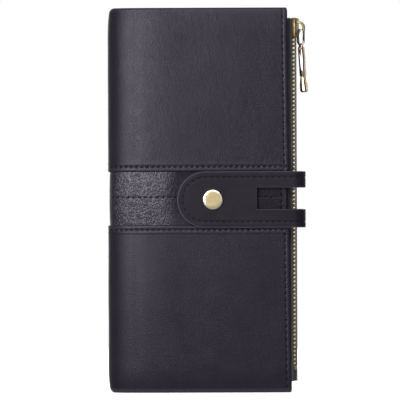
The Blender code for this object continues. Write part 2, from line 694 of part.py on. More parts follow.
keep("snap_cap", lathe([
    (0.0, shank_end), (CAP_SHANK_RADIUS, shank_end), (CAP_SHANK_RADIUS, cap_back), (CAP_RADIUS * 0.97, cap_back),
    (CAP_RADIUS, cap_back - CAP_HEIGHT * 0.25), (CAP_RADIUS * 0.97, cap_back - CAP_HEIGHT * 0.55),
    (CAP_RADIUS * 0.90, cap_back - CAP_HEIGHT * 0.66), (CAP_RADIUS * 0.84, cap_back - CAP_HEIGHT * 0.64),
    (CAP_RADIUS * 0.66, cap_back - CAP_HEIGHT * 0.83), (CAP_RADIUS * 0.36, cap_back - CAP_HEIGHT * 0.96),
    (0.0, cap_back - CAP_HEIGHT)], 'Y', 36), gold, place=snap_place, smooth=True)
keep("snap_socket", lathe([
    (shank_hole, socket_high), (SOCKET_RADIUS, socket_high), (SOCKET_RADIUS, socket_web), (SOCKET_RADIUS * 0.85, socket_low),
    (SOCKET_BORE, socket_low), (SOCKET_BORE, socket_web), (shank_hole, socket_web)], 'Y', 24, closed=True), brass, place=snap_place)
keep("snap_stud", lathe([
    (0.0, band_face + BAND_THICKNESS * 0.8), (STUD_SHANK_RADIUS, band_face + BAND_THICKNESS * 0.8), (STUD_SHANK_RADIUS, stud_top),
    (STUD_FLANGE_RADIUS, stud_top), (STUD_FLANGE_RADIUS, stud_flange_top), (STUD_RADIUS * 0.9, stud_flange_top),
    (STUD_RADIUS, (stud_flange_top + stud_tip) / 2), (STUD_RADIUS * 0.8, stud_tip), (0.0, stud_tip)], 'Y', 24),
     brass, place=snap_place)

for target, name, radius in ((face, "face_hole", shank_hole), (backing, "backing_hole", SOCKET_RADIUS + SNAP_CLEARANCE),
                             (bpy.data.objects["front_band"], "band_hole", STUD_SHANK_RADIUS + SNAP_CLEARANCE)):
    reach = strap_outer * 1.5
    tool = keep(name, lathe([(0.0, -reach), (radius, -reach), (radius, 0.0), (0.0, 0.0)], 'Y', 24), None, cutters, snap_place)
    boolean(target, tool, 'DIFFERENCE')
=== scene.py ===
import bisect
import json
import math

import bmesh
import bpy
from mathutils import Matrix, Vector, noise


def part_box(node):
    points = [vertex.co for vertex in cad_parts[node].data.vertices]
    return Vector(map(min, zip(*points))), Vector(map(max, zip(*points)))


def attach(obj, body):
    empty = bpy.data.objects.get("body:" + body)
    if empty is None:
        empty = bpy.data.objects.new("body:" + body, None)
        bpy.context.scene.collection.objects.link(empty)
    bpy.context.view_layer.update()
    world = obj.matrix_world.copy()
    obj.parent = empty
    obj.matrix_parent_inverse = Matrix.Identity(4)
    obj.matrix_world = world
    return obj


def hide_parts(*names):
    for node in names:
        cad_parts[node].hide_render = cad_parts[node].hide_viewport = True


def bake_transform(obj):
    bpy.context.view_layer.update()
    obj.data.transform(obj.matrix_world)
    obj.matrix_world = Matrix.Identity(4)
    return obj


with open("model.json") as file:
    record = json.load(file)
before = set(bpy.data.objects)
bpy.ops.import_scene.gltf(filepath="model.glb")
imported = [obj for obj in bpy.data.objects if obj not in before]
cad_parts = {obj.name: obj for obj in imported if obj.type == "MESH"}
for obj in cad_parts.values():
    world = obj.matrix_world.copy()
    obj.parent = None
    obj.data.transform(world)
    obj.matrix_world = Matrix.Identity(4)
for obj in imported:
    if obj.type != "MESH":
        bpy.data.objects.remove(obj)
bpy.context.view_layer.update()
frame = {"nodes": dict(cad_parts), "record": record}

scene = bpy.context.scene
scene.view_settings.view_transform = "Standard"
mm = 0.001
sides = ((-1, "Front"), (1, "Back"))  # y runs to the back


def colourOf(text):  # sRGB hex to linear
    parts = [int(text[i:i + 2], 16) / 255 for i in (1, 3, 5)]
    return [c / 12.92 if c < 0.04045 else ((c + 0.055) / 1.055) ** 2.4 for c in parts] + [1.0]


def addNode(tree, kind, settings=None, links=None):
    node = tree.nodes.new("ShaderNode" + kind)
    for key, value in (settings or {}).items():
        if isinstance(key, str) and hasattr(node, key):
            setattr(node, key, value)
        else:
            node.inputs[key].default_value = value
    for key, socket in (links or {}).items():
        tree.links.new(socket, node.inputs[key])
    return node


def newLook(name, settings):
    look = bpy.data.materials.new(name)
    look.use_nodes = True
    shader = look.node_tree.nodes["Principled BSDF"]
    for key, value in settings.items():
        shader.inputs[key].default_value = value
    return look, look.node_tree, shader


# camera: straight on at half height from well back, so that the face shows square
view = {"place": (-0.0040, -2.6, 0.0976), "lens": 460.5, "roll": 0.2}
camera = bpy.data.objects.new("camera", bpy.data.cameras.new("camera"))
camera.data.lens = view["lens"]
camera.data.clip_start = 0.05
camera.matrix_world = (Matrix.Translation(view["place"]) @ Matrix.Rotation(math.radians(90), 4, "X")
                       @ Matrix.Rotation(math.radians(-view["roll"]), 4, "Z"))
scene.collection.objects.link(camera)
scene.camera = camera


# one level for light that falls, another for what the eye and reflections see
def seenLevel(tree, hidden, shown):
    path = addNode(tree, "LightPath")
    seen = addNode(tree, "Math", {"operation": "MAXIMUM"},
                   {0: path.outputs["Is Camera Ray"], 1: path.outputs["Is Glossy Ray"]})
    seen = addNode(tree, "Math", {"operation": "MAXIMUM"},
                   {0: seen.outputs[0], 1: path.outputs["Is Transmission Ray"]})
    level = addNode(tree, "MapRange", {"To Min": hidden, "To Max": shown}, {"Value": seen.outputs[0]})
    return level.outputs[0]


# studio: soft key from the front left that fades out to its side, a low strip above for the edges,
# white surround
studio = {"ambient": 0.38, "key": 1.4, "keyPlace": (-0.158, -0.5, 0.2), "keySize": (0.16, 0.29),
          "side": 1.0, "sidePlace": (-0.36, -0.5, 0.2), "sideSize": (0.26, 0.29),
          "top": 0.9, "topPlace": (0.06, -0.6, 0.42), "topSize": (0.5, 0.08),
          "rear": 2.2, "rearPlace": (0.12, 0.7, 0.3), "rearSize": (0.4, 0.3)}
world = bpy.data.worlds.new("studio")
world.use_nodes = True
scene.world = world
tree = world.node_tree
tree.links.new(seenLevel(tree, studio["ambient"], 1.0), tree.nodes["Background"].inputs["Strength"])
tree.nodes["Background"].inputs["Color"].default_value = (1, 1, 1, 1)


def addLamp(name, place, size, power):
    lamp = bpy.data.objects.new(name, bpy.data.lights.new(name, "AREA"))
    lamp.data.energy = power
    lamp.data.shape = "RECTANGLE"
    lamp.data.size, lamp.data.size_y = size
    lamp.location = place
    lamp.rotation_euler = (Vector((0, 0, 0.1)) - Vector(place)).to_track_quat("-Z", "Y").to_euler()
    scene.collection.objects.link(lamp)


for lampName in ("key", "side", "top", "rear"):
    addLamp(lampName, studio[lampName + "Place"], studio[lampName + "Size"], studio[lampName])


def addStage(name, bm, look):
    mesh = bpy.data.meshes.new(name)
    bm.to_mesh(mesh)
    bm.free()
    mesh.materials.append(look)
    made = bpy.data.objects.new(name, mesh)
    scene.collection.objects.link(made)
    return made


# floor: white card, mostly its own white to the camera, so only the contact shadow shows
floorLook, tree, shader = newLook("whiteCard", {"Base Color": colourOf("#F2F2F2"), "Roughness": 0.9})
tree.links.new(seenLevel(tree, 0.0, 0.62), shader.inputs["Emission Strength"])
shader.inputs["Emission Color"].default_value = (1, 1, 1, 1)
bm = bmesh.new()
bmesh.ops.create_circle(bm, cap_ends=True, segments=96, radius=6.0)
addStage("floor", bm, floorLook)

# grey flags that only reflections see: they keep the sides and face of the leather dark
flags = {"leftFlag": ((-0.9, 0.1, 0.35), 90, "Y", 1.6, 0.36),
         "rightFlag": ((0.9, -0.3, 0.35), 90, "Y", 1.6, 0.1),
         "frontFlag": ((0, -1.6, 0.3), 90, "X", 2.6, 0.65),
         "floorFlag": ((-0.3, -0.6, 0.002), 0, "X", 2.2, 0.34)}
for name, (place, turn, axis, size, shine) in flags.items():
    flagLook, tree, shader = newLook("greyFlag", {
        "Base Color": (0, 0, 0, 1), "Roughness": 1.0, "Specular IOR Level": 0.0,
        "Emission Color": (1, 1, 1, 1), "Emission Strength": shine})
    bm = bmesh.new()
    bmesh.ops.create_grid(bm, x_segments=1, y_segments=1, size=size / 2)
    turned = Matrix.Translation(place) @ Matrix.Rotation(math.radians(turn), 4, axis)
    bmesh.ops.transform(bm, matrix=turned, verts=bm.verts)
    flag = addStage(name, bm, flagLook)
    flag.visible_camera = False
    flag.visible_diffuse = False
    flag.visible_shadow = False
    flag.visible_transmission = False
print("studio ready")


# leather: one recipe, three finishes. The grain runs on the piece's flat cut, so it folds with it
def leatherLook(name, hide):
    look, tree, shader = newLook(name, {"Specular Tint": colourOf("#F3ECFF")})
    cut = addNode(tree, "UVMap", {"uv_map": "cut"})
    wearAndPaintedLight = addNode(tree, "Attribute", {"attribute_name": "wearAndPaintedLight"})
    drift = addNode(tree, "TexNoise", {"Scale": 1 / hide["wrinkle"], "Detail": 3.0},
                    {"Vector": cut.outputs[0]})
    pull = 0.35 * hide["grain"]
    bent = addNode(tree, "VectorMath", {"operation": "MULTIPLY_ADD", 1: (pull, pull, 0)},
                   {0: drift.outputs["Color"], 2: cut.outputs[0]})
    laid = addNode(tree, "Mapping",
                   {"Rotation": (0, 0, math.radians(hide["lean"])), "Scale": (1, hide["stretch"], 1)},
                   {"Vector": bent.outputs[0]})
    cells = addNode(tree, "TexVoronoi", {"feature": "DISTANCE_TO_EDGE", "Scale": 1 / hide["grain"]},
                    {"Vector": laid.outputs[0]})
    domes = addNode(tree, "MapRange", {"interpolation_type": "SMOOTHSTEP", "From Max": 0.32},
                    {"Value": cells.outputs[0]})
    pores = addNode(tree, "TexNoise", {"Scale": 1 / hide["pore"], "Detail": 2.0}, {"Vector": cut.outputs[0]})
    blotch = addNode(tree, "TexNoise", {"Scale": 1 / hide["blotch"], "Detail": 5.0, "Roughness": 0.6},
                     {"Vector": cut.outputs[0]})
    spread = addNode(tree, "MapRange", {"From Min": 0.32, "From Max": 0.68}, {"Value": blotch.outputs["Fac"]})
    tone = addNode(tree, "Mix", {"data_type": "RGBA", 6: colourOf(hide["deep"]), 7: colourOf(hide["pale"])},
                   {0: spread.outputs[0]})
    # the valleys between the grain's domes are darkened: painted shade
    valleyShade = addNode(tree, "MapRange", {"To Min": hide["valleyShade"], "To Max": 1.0}, {"Value": domes.outputs[0]})
    shaded = addNode(tree, "Mix", {"data_type": "RGBA", "blend_type": "MULTIPLY", 0: 1.0},
                     {6: tone.outputs[2], 7: valleyShade.outputs[0]})
    # the wear attribute mixes in the paler worn colour: edge rub on the strap, band, pockets and slots, and a
    # painted highlight on the cover panels' hems and edges
    rubbedAndSheen = addNode(tree, "Math", {"operation": "MULTIPLY", 1: hide["rubAndSheen"]}, {0: wearAndPaintedLight.outputs["Fac"]})
    colour = addNode(tree, "Mix", {"data_type": "RGBA", 7: colourOf(hide["wornAndSheen"])},
                     {0: rubbedAndSheen.outputs[0], 6: shaded.outputs[2]})
    tree.links.new(colour.outputs[2], shader.inputs["Base Color"])
    low, high = hide["matt"]
    gloss = addNode(tree, "MapRange", {"From Min": 0.3, "From Max": 0.7, "To Min": low, "To Max": high},
                    {"Value": drift.outputs["Fac"]})
    tree.links.new(gloss.outputs[0], shader.inputs["Roughness"])
    # the pressed band is flattened under the strap, and its shine is lowered there: painted shade from the
    # strap
    pressedAndShaded = addNode(tree, "Attribute", {"attribute_name": "press"})  # flattened and dulled under the strap
    strength = addNode(tree, "MapRange", {"To Min": hide["relief"], "To Max": 0.3 * hide["relief"]},
                       {"Value": pressedAndShaded.outputs["Fac"]})
    shine = addNode(tree, "MapRange", {"To Min": hide["shine"], "To Max": 0.3 * hide["shine"]},
                    {"Value": pressedAndShaded.outputs["Fac"]})
    tree.links.new(shine.outputs[0], shader.inputs["Specular IOR Level"])
    coarse = addNode(tree, "Bump", {"Distance": hide["grainDepth"]},
                     {"Height": domes.outputs[0], "Strength": strength.outputs[0]})
    fine = addNode(tree, "Bump", {"Strength": 0.5, "Distance": hide["poreDepth"]},
                   {"Height": pores.outputs["Fac"], "Normal": coarse.outputs[0]})
    tree.links.new(fine.outputs[0], shader.inputs["Normal"])
    return look


# waxed full-grain cowhide, plated smooth: soft satin glow, faint close grain, cloudy dye; its paler worn colour
# also paints highlights on the panels' hems and edges
smoothLeather = leatherLook("waxedSmoothCowhide", {
    "deep": "#1B181F", "pale": "#211D27", "wornAndSheen": "#433E4A", "rubAndSheen": 0.35, "valleyShade": 0.95, "shine": 0.208,
    "matt": (0.28, 0.345), "grain": 0.9 * mm, "stretch": 0.75, "lean": 20, "relief": 0.58,
    "grainDepth": 0.05 * mm, "pore": 0.45 * mm, "poreDepth": 0.03 * mm, "wrinkle": 5 * mm, "blotch": 16 * mm})
# milled cowhide, tumbled until it pebbles: shiny tops, valleys darkened with painted shade, grain drawn tall by
# the seams' pull
pebbledLeather = leatherLook("milledPebbleCowhide", {
    "deep": "#17141B", "pale": "#211E26", "wornAndSheen": "#46424D", "rubAndSheen": 0.3, "valleyShade": 0.6, "shine": 0.5,
    "matt": (0.30, 0.36), "grain": 0.98 * mm, "stretch": 0.5, "lean": 14, "relief": 0.85,
    "grainDepth": 0.11 * mm, "pore": 0.4 * mm, "poreDepth": 0.04 * mm, "wrinkle": 3 * mm, "blotch": 12 * mm})
# strap leather, firmer and matter, with a burnished edge that goes pale
strapLeather = leatherLook("burnishedStrapCowhide", {
    "deep": "#151219", "pale": "#1E1B23", "wornAndSheen": "#77717D", "rubAndSheen": 0.42, "valleyShade": 0.85, "shine": 0.17,
    "matt": (0.48, 0.6), "grain": 0.8 * mm, "stretch": 0.9, "lean": 0, "relief": 0.25,
    "grainDepth": 0.05 * mm, "pore": 0.45 * mm, "poreDepth": 0.03 * mm, "wrinkle": 4 * mm, "blotch": 14 * mm})


# woven cloth: warp and weft as two crossed waves on the flat cut
def wovenLook(name, cloth):
    look, tree, shader = newLook(name, {"Roughness": cloth["matt"], "Specular IOR Level": 0.2,
                                        "Sheen Weight": 0.25, "Sheen Roughness": 0.5})
    cut = addNode(tree, "UVMap", {"uv_map": "cut"})
    turned = addNode(tree, "Mapping", {"Rotation": (0, 0, math.radians(cloth["lean"]))},
                     {"Vector": cut.outputs[0]})
    rate = 1 / cloth["thread"] / 20 * math.tau  # a wave texture's scale of 1 is a band every tau/20 units
    warp, weft = [addNode(tree, "TexWave",
                          {"bands_direction": axis, "Scale": rate, "Distortion": 0.4, "Detail": 1.0},
                          {"Vector": turned.outputs[0]})
                  for axis in ("X", "Y")]
    both = addNode(tree, "Math", {"operation": "MULTIPLY"}, {0: warp.outputs["Fac"], 1: weft.outputs["Fac"]})
    fade = addNode(tree, "TexNoise", {"Scale": 1 / (9 * mm), "Detail": 3.0}, {"Vector": cut.outputs[0]})
    mixed = addNode(tree, "Math", {"operation": "MULTIPLY_ADD", 1: 0.7},
                    {0: both.outputs[0], 2: fade.outputs["Fac"]})
    tone = addNode(tree, "MapRange", {"From Min": 0.35, "From Max": 1.15}, {"Value": mixed.outputs[0]})
    colour = addNode(tree, "Mix", {"data_type": "RGBA", 6: colourOf(cloth["deep"]), 7: colourOf(cloth["pale"])},
                     {0: tone.outputs[0]})
    tree.links.new(colour.outputs[2], shader.inputs["Base Color"])
    bump = addNode(tree, "Bump", {"Strength": 0.6, "Distance": cloth["depth"]}, {"Height": both.outputs[0]})
    tree.links.new(bump.outputs[0], shader.inputs["Normal"])
    return look


# polyester lining, plain weave: dull, a faint square check (drawn coarser than its 0.25 mm threads to show)
liningCloth = wovenLook("wovenPolyesterLining", {
    "deep": "#2A2830", "pale": "#47434E", "matt": 0.85, "lean": 0, "thread": 0.6 * mm, "depth": 0.10 * mm})
# zip tape, close polyester twill on the slant (also drawn coarser)
tapeCloth = wovenLook("wovenPolyesterTape", {
    "deep": "#26262A", "pale": "#454449", "matt": 0.8, "lean": 45, "thread": 0.7 * mm, "depth": 0.12 * mm})

# bonded polyester thread: near black, slightly waxy, its twist as a slanting wave
threadLook, tree, shader = newLook("bondedPolyesterThread", {"Roughness": 0.7, "Specular IOR Level": 0.08})
spot = addNode(tree, "TexCoord")
twist = addNode(tree, "TexWave", {"bands_direction": "DIAGONAL", "Scale": 1 / (0.5 * mm) / 20 * math.tau},
                {"Vector": spot.outputs["Object"]})
tone = addNode(tree, "Mix", {"data_type": "RGBA", 6: colourOf("#050406"), 7: colourOf("#0E0C10")},
               {0: twist.outputs["Fac"]})
tree.links.new(tone.outputs[2], shader.inputs["Base Color"])


# metal: one recipe, told apart by colour, polish and tarnish; the tarnish layer also carries painted shade and
# a painted reflection on some parts
def metalLook(name, metal):
    look, tree, shader = newLook(name, {"Metallic": 1.0})
    spot = addNode(tree, "TexCoord")
    wearAndPaintedLight = addNode(tree, "Attribute", {"attribute_name": "tarnishAndPaintedLight"})
    cloud = addNode(tree, "TexNoise", {"Scale": 1 / metal["cloud"], "Detail": 3.0},
                    {"Vector": spot.outputs["Object"]})
    streak = addNode(tree, "Mapping", {"Scale": metal["brush"]}, {"Vector": spot.outputs["Object"]})
    scratches = addNode(tree, "TexNoise", {"Scale": 1 / (0.3 * mm), "Detail": 2.0},
                        {"Vector": streak.outputs[0]})
    spread = addNode(tree, "MapRange", {"From Min": 0.35, "From Max": 0.65}, {"Value": cloud.outputs["Fac"]})
    tone = addNode(tree, "Mix", {"data_type": "RGBA", 6: colourOf(metal["deep"]), 7: colourOf(metal["pale"])},
                   {0: spread.outputs[0]})
    colour = addNode(tree, "Mix", {"data_type": "RGBA", 7: colourOf(metal["tarnishAndPaintedLight"])},
                     {0: wearAndPaintedLight.outputs["Fac"], 6: tone.outputs[2]})
    tree.links.new(colour.outputs[2], shader.inputs["Base Color"])
    gloss = addNode(tree, "MapRange", {"To Min": metal["polish"][0], "To Max": metal["polish"][1]},
                    {"Value": scratches.outputs["Fac"]})
    tree.links.new(gloss.outputs[0], shader.inputs["Roughness"])
    bump = addNode(tree, "Bump", {"Strength": metal["marks"], "Distance": 0.02 * mm},
                   {"Height": scratches.outputs["Fac"]})
    tree.links.new(bump.outputs[0], shader.inputs["Normal"])
    return look


# antique brass, tumbled: warm tops, brown on the crown and rivet, and painted shade under the slider's top
brass = metalLook("antiqueTumbledBrass", {
    "deep": "#857452", "pale": "#A8966E", "tarnishAndPaintedLight": "#40382A",
    "polish": (0.40, 0.55), "cloud": 2 * mm, "brush": (1, 1, 1), "marks": 0.15})
# zip teeth, the same brass painted pale tan: a painted highlight on the front row; its dark tarnish colour is
# painted shade on the back row
toothBrass = metalLook("highlightPaintedZipBrass", {
    "deep": "#EFD3A4", "pale": "#FBEBCB", "tarnishAndPaintedLight": "#2A2018",
    "polish": (0.28, 0.40), "cloud": 2 * mm, "brush": (1, 1, 1), "marks": 0.15})
# light gold plate on a spun cap: bright, fine turning marks; its pale cream tarnish colour is the rim's painted
# reflection
gold = metalLook("spunLightGoldPlate", {
    "deep": "#EBD29C", "pale": "#F5E2B4", "tarnishAndPaintedLight": "#FFF6DC",
    "polish": (0.12, 0.18), "cloud": 3 * mm, "brush": (1, 1, 1), "marks": 0.02})
# polished nickel with a warm cast: long bright and dark streaks
nickel = metalLook("polishedWarmNickel", {
    "deep": "#B8A99C", "pale": "#CFC0B4", "tarnishAndPaintedLight": "#AD9D62",
    "polish": (0.08, 0.14), "cloud": 4 * mm, "brush": (1, 1, 0.1), "marks": 0.03})
# the link is older nickel, gone grey
greyNickel = metalLook("agedGreyNickel", {
    "deep": "#86827E", "pale": "#A8A39D", "tarnishAndPaintedLight": "#3A3A3C",
    "polish": (0.14, 0.26), "cloud": 3 * mm, "brush": (1, 1, 1), "marks": 0.05})

# greyboard stiffener: dull tan pulp with fibres, hidden unless a seam opens
boardLook, tree, shader = newLook("pressedGreyboard", {"Roughness": 0.95})
spot = addNode(tree, "TexCoord")
fibre = addNode(tree, "TexNoise", {"Scale": 1 / (0.6 * mm), "Detail": 4.0},
                {"Vector": spot.outputs["Object"]})
tone = addNode(tree, "Mix", {"data_type": "RGBA", 6: colourOf("#7D6C55"), 7: colourOf("#A08D70")},
               {0: fibre.outputs["Fac"]})
tree.links.new(tone.outputs[2], shader.inputs["Base Color"])
print("materials ready")


def finishPiece(name, bm, look, creaseAngle=35):
    bmesh.ops.recalc_face_normals(bm, faces=bm.faces)
    mesh = bpy.data.meshes.new(name)
    bm.to_mesh(mesh)
    bm.free()
    mesh.materials.append(look)
    mesh.shade_smooth()
    mesh.set_sharp_from_angle(angle=math.radians(creaseAngle))
    made = bpy.data.objects.new(name, mesh)
    scene.collection.objects.link(made)
    return made


# grid lines from low to high, closer inside the fine zones (from, to, step)
def lines(low, high, step, fine=()):
    places = [low]
    stops = sorted({edge for zone in fine for edge in zone[:2] if low < edge < high} | {high})
    for stop in stops:
        start = places[-1]
        centre = (start + stop) / 2
        pace = min([step] + [zone[2] for zone in fine if zone[0] < centre < zone[1]])
        count = max(1, round((stop - start) / pace))
        places += [start + (stop - start) * (i + 1) / count for i in range(count)]
    return places


# a flat cut (x along, y up, z 0 outside and 1 inside) that place(x, y, z) lays on the wallet
def laySheet(name, across, up, place, look, gone=None, wornAndSheen=None, pressedAndShaded=None, creaseAngle=35):
    bm = bmesh.new()
    bmesh.ops.create_grid(bm, x_segments=len(across) - 1, y_segments=len(up) - 1, size=0.5)
    for vert in bm.verts:
        vert.co.x = across[round((vert.co.x + 0.5) * (len(across) - 1))]
        vert.co.y = up[round((vert.co.y + 0.5) * (len(up) - 1))]
    if gone:
        bmesh.ops.delete(bm, geom=[face for face in bm.faces if gone(face.calc_center_median())],
                         context="FACES")
    made = bmesh.ops.extrude_face_region(bm, geom=bm.faces[:])
    for item in made["geom"]:
        if isinstance(item, bmesh.types.BMVert):
            item.co.z = 1.0
    cut = bm.loops.layers.uv.new("cut")
    wearAndPaintedLight = bm.verts.layers.float.new("wearAndPaintedLight")
    press = bm.verts.layers.float.new("press")
    for face in bm.faces:
        for loop in face.loops:
            loop[cut].uv = loop.vert.co.xy
    for vert in bm.verts:
        vert[wearAndPaintedLight] = wornAndSheen(vert.co.x, vert.co.y) if wornAndSheen else 0.0
        vert[press] = pressedAndShaded(vert.co.x, vert.co.y) if pressedAndShaded else 0.0
        vert.co = place(*vert.co)
    bmesh.ops.remove_doubles(bm, verts=bm.verts, dist=1e-6)
    return finishPiece(name, bm, look, creaseAngle)


def roll(distance, radius):  # quarter-round drop at an edge
    return radius - math.sqrt(max(radius ** 2 - (radius - distance) ** 2, 0)) if distance < radius else 0.0


def swell(distance, centre, width):  # a soft ridge, 1 at its centre
    return math.exp(-((distance - centre) / width) ** 2)


def pit(along, off, pitch, slant=0.25):  # the dent that a stitch pulls in the leather
    past = along - round(along / pitch) * pitch
    return math.exp(-(past / (0.8 * mm)) ** 4 - ((off - slant * past) / (0.42 * mm)) ** 2)


# the covers: one plan curve, half a squarish ellipse at the spine and a flat run to the open edge
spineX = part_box("spine_upper_panel")[0].x
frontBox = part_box("front_upper_panel")
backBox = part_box("back_upper_panel")
cover = {"sweep": 20 * mm, "square": 2.3, "half": (backBox[1].y - frontBox[0].y) / 2,
         "middleY": (backBox[1].y + frontBox[0].y) / 2, "top": frontBox[1].z, "width": frontBox[1].x - spineX,
         # the turned hems sag a little over the band
         "bandTop": frontBox[0].z - 0.3 * mm, "bandBottom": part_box("front_lower_panel")[1].z + 0.3 * mm,
         "spineCorner": 2.0 * mm, "openCorner": 1.1 * mm,
         "leather": 0.8 * mm, "hem": 1.25 * mm, "hemDepth": 2.3 * mm,
         "leanTop": -1.3 * mm, "leanFoot": 0.5 * mm}  # the open edges were cut a little askew
curveSteps = 300
curveAngles = [math.pi / 2 * i / curveSteps for i in range(curveSteps + 1)]
curvePower = 2 / cover["square"]
curveSpots = [Vector((cover["sweep"] * (1 - max(math.cos(angle), 0) ** curvePower),
                      cover["half"] * math.sin(angle) ** curvePower)) for angle in curveAngles]
curveArcs = [0.0]
for near, far in zip(curveSpots, curveSpots[1:]):
    curveArcs.append(curveArcs[-1] + (far - near).length)
cover["length"] = curveArcs[-1] + cover["width"] - cover["sweep"]


def planSpot(along):  # outside point and outward direction at a distance from the middle of the spine
    if along >= curveArcs[-1]:
        return cover["sweep"] + along - curveArcs[-1], cover["half"], 0.0, 1.0
    i = min(bisect.bisect_right(curveArcs, along), curveSteps) - 1
    share = (along - curveArcs[i]) / (curveArcs[i + 1] - curveArcs[i])
    angle = curveAngles[i] + share * (curveAngles[i + 1] - curveAngles[i])
    power = 2 - curvePower
    out = Vector((-max(math.cos(angle), 0) ** power / cover["sweep"],
                  math.sin(angle) ** power / cover["half"])).normalized()
    spot = curveSpots[i].lerp(curveSpots[i + 1], share)
    return spot.x, spot.y, out.x, out.y


def alongAt(x):  # distance along the cover for a place across it
    return curveArcs[-1] + x - cover["sweep"]


def onCover(side, along, z, depth):
    x, y, outX, outY = planSpot(along)
    into = cover["spineCorner"] - x
    radius = cover["spineCorner"]
    if into < 0:
        into = x - (cover["width"] - cover["openCorner"])
        radius = cover["openCorner"]
    drop = radius - math.sqrt(max(radius ** 2 - max(into, 0) ** 2, 0))
    rise = (z - cover["top"] / 2) / (cover["top"] / 2)
    z -= drop * math.copysign(max(0, (abs(rise) - 0.9) / 0.1) ** 2, rise)  # rounded corners
    lean = cover["leanFoot"] + (cover["leanTop"] - cover["leanFoot"]) * z / cover["top"]
    x += lean * max(0, along / cover["length"]) ** 2
    return Vector((spineX + x - outX * depth, cover["middleY"] + side * (y - outY * depth), z))


def slack(side, along, z, seed):  # soft leather is never quite flat
    spot = Vector((along / (30 * mm), z / (34 * mm), side * 3 + seed))
    return noise.noise(spot) * 0.16 * mm + noise.noise(spot * 3.1) * 0.05 * mm


def foldWith(piece, side):
    if side < 0:
        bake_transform(piece)
    else:
        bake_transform(piece)


# panels: turned and topstitched at the band, rolled at the open edge, top and foot
panel = {"seamRoll": 0.55 * mm, "bead": 0.10 * mm, "beadAt": 1.2 * mm, "seamStitch": 2.45 * mm,
         "seamPitch": 2.85 * mm, "groove": 0.29 * mm, "shoulder": 0.08 * mm, "shoulderAt": 3.9 * mm,
         "crease": 0.05 * mm, "creaseAt": 4.7 * mm, "handling": 0.022 * mm,
         "edgeRoll": 1.0 * mm, "edgeDrop": 0.75 * mm, "edgeRidge": 0.016 * mm,
         "edgeStitch": 2.5 * mm, "edgePitch": 3.34 * mm, "edgePit": 0.32 * mm,
         "endRoll": 1.0 * mm, "endSlope": 0.75 * mm, "endReach": 14 * mm,
         "ease": 0.8 * mm, "easeFrom": 14 * mm, "easeTo": 34 * mm}


def ease(along):  # the face starts to fall away before the spine's turn
    x = planSpot(along)[0]
    if x < panel["easeFrom"]:
        return panel["ease"] * x / panel["easeFrom"]
    return panel["ease"] * max(0, (panel["easeTo"] - x) / (panel["easeTo"] - panel["easeFrom"])) ** 2


def panelDepth(side, along, z, upper):
    seam = z - cover["bandTop"] if upper else cover["bandBottom"] - z
    end = cover["top"] - z if upper else z
    edge = cover["length"] - along
    depth = roll(seam, panel["seamRoll"]) - panel["bead"] * swell(seam, panel["beadAt"], 0.75 * mm)
    depth += panel["groove"] * pit(along, seam - panel["seamStitch"], panel["seamPitch"])
    depth -= panel["shoulder"] * swell(seam, panel["shoulderAt"], 0.8 * mm)
    if not upper:
        depth += panel["crease"] * swell(seam, panel["creaseAt"], 0.25 * mm)
    if edge < panel["edgeRoll"]:
        depth += panel["edgeDrop"] * (1 - edge / panel["edgeRoll"]) ** 2
    uneven = 1 + noise.noise(Vector((z * 300, side, 4)))
    depth -= panel["edgeRidge"] * swell(edge, 1.5 * mm, 0.4 * mm) * uneven
    depth += panel["edgePit"] * pit(z, edge - panel["edgeStitch"], panel["edgePitch"])
    depth += roll(end, panel["endRoll"]) * 0.7 + panel["endSlope"] * max(0, 1 - end / panel["endReach"]) ** 2
    depth += ease(along)
    calm = min(1, max(0, seam / (6 * mm))) * min(1, max(0, edge / (5 * mm)))
    if upper:  # faint creases from handling, as the photo shows above the band only
        spot = Vector((along / (2.4 * mm) + z / (9 * mm), z / (6 * mm), side))
        depth -= panel["handling"] * noise.noise(spot) * calm
    return depth - slack(side, along, z, 0) * calm


def panelPlace(side, upper):
    def place(along, z, inner):
        depth = panelDepth(side, along, z, upper)
        if inner:
            lip = min(cover["top"] - z if upper else z, cover["length"] - along) < cover["hem"]
            depth = cover["hemDepth"] if lip else max(cover["leather"], depth + 0.3 * mm)
        return onCover(side, along, z, depth)
    return place


def panelWearAndSheen(upper):
    def wornAndSheen(along, z):
        seam = z - cover["bandTop"] if upper else cover["bandBottom"] - z
        end = cover["top"] - z if upper else z
        edge = cover["length"] - along
        # painted highlight: the hem bead is painted paler, most near the spine where the key light catches it,
        # fading towards the open edge; the ridge by the open edge and the top and foot edges are painted paler
        # as edge wear and painted highlight together
        rubAndSheen = 0.8 * swell(seam, panel["beadAt"], 0.7 * mm) * max(0.1, 1 - along / (90 * mm))
        rubAndSheen += 0.15 * swell(edge, 1.6 * mm, 0.4 * mm) + 0.6 * swell(end, 1.0 * mm, 0.8 * mm)
        return min(1.0, rubAndSheen)
    return wornAndSheen


# a cover piece stands in for its own solid, the front one for the spine's too
def standFor(piece, side, part):
    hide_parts(("front_" if side < 0 else "back_") + part, *(["spine_" + part] if side < 0 else []))
    foldWith(piece, side)


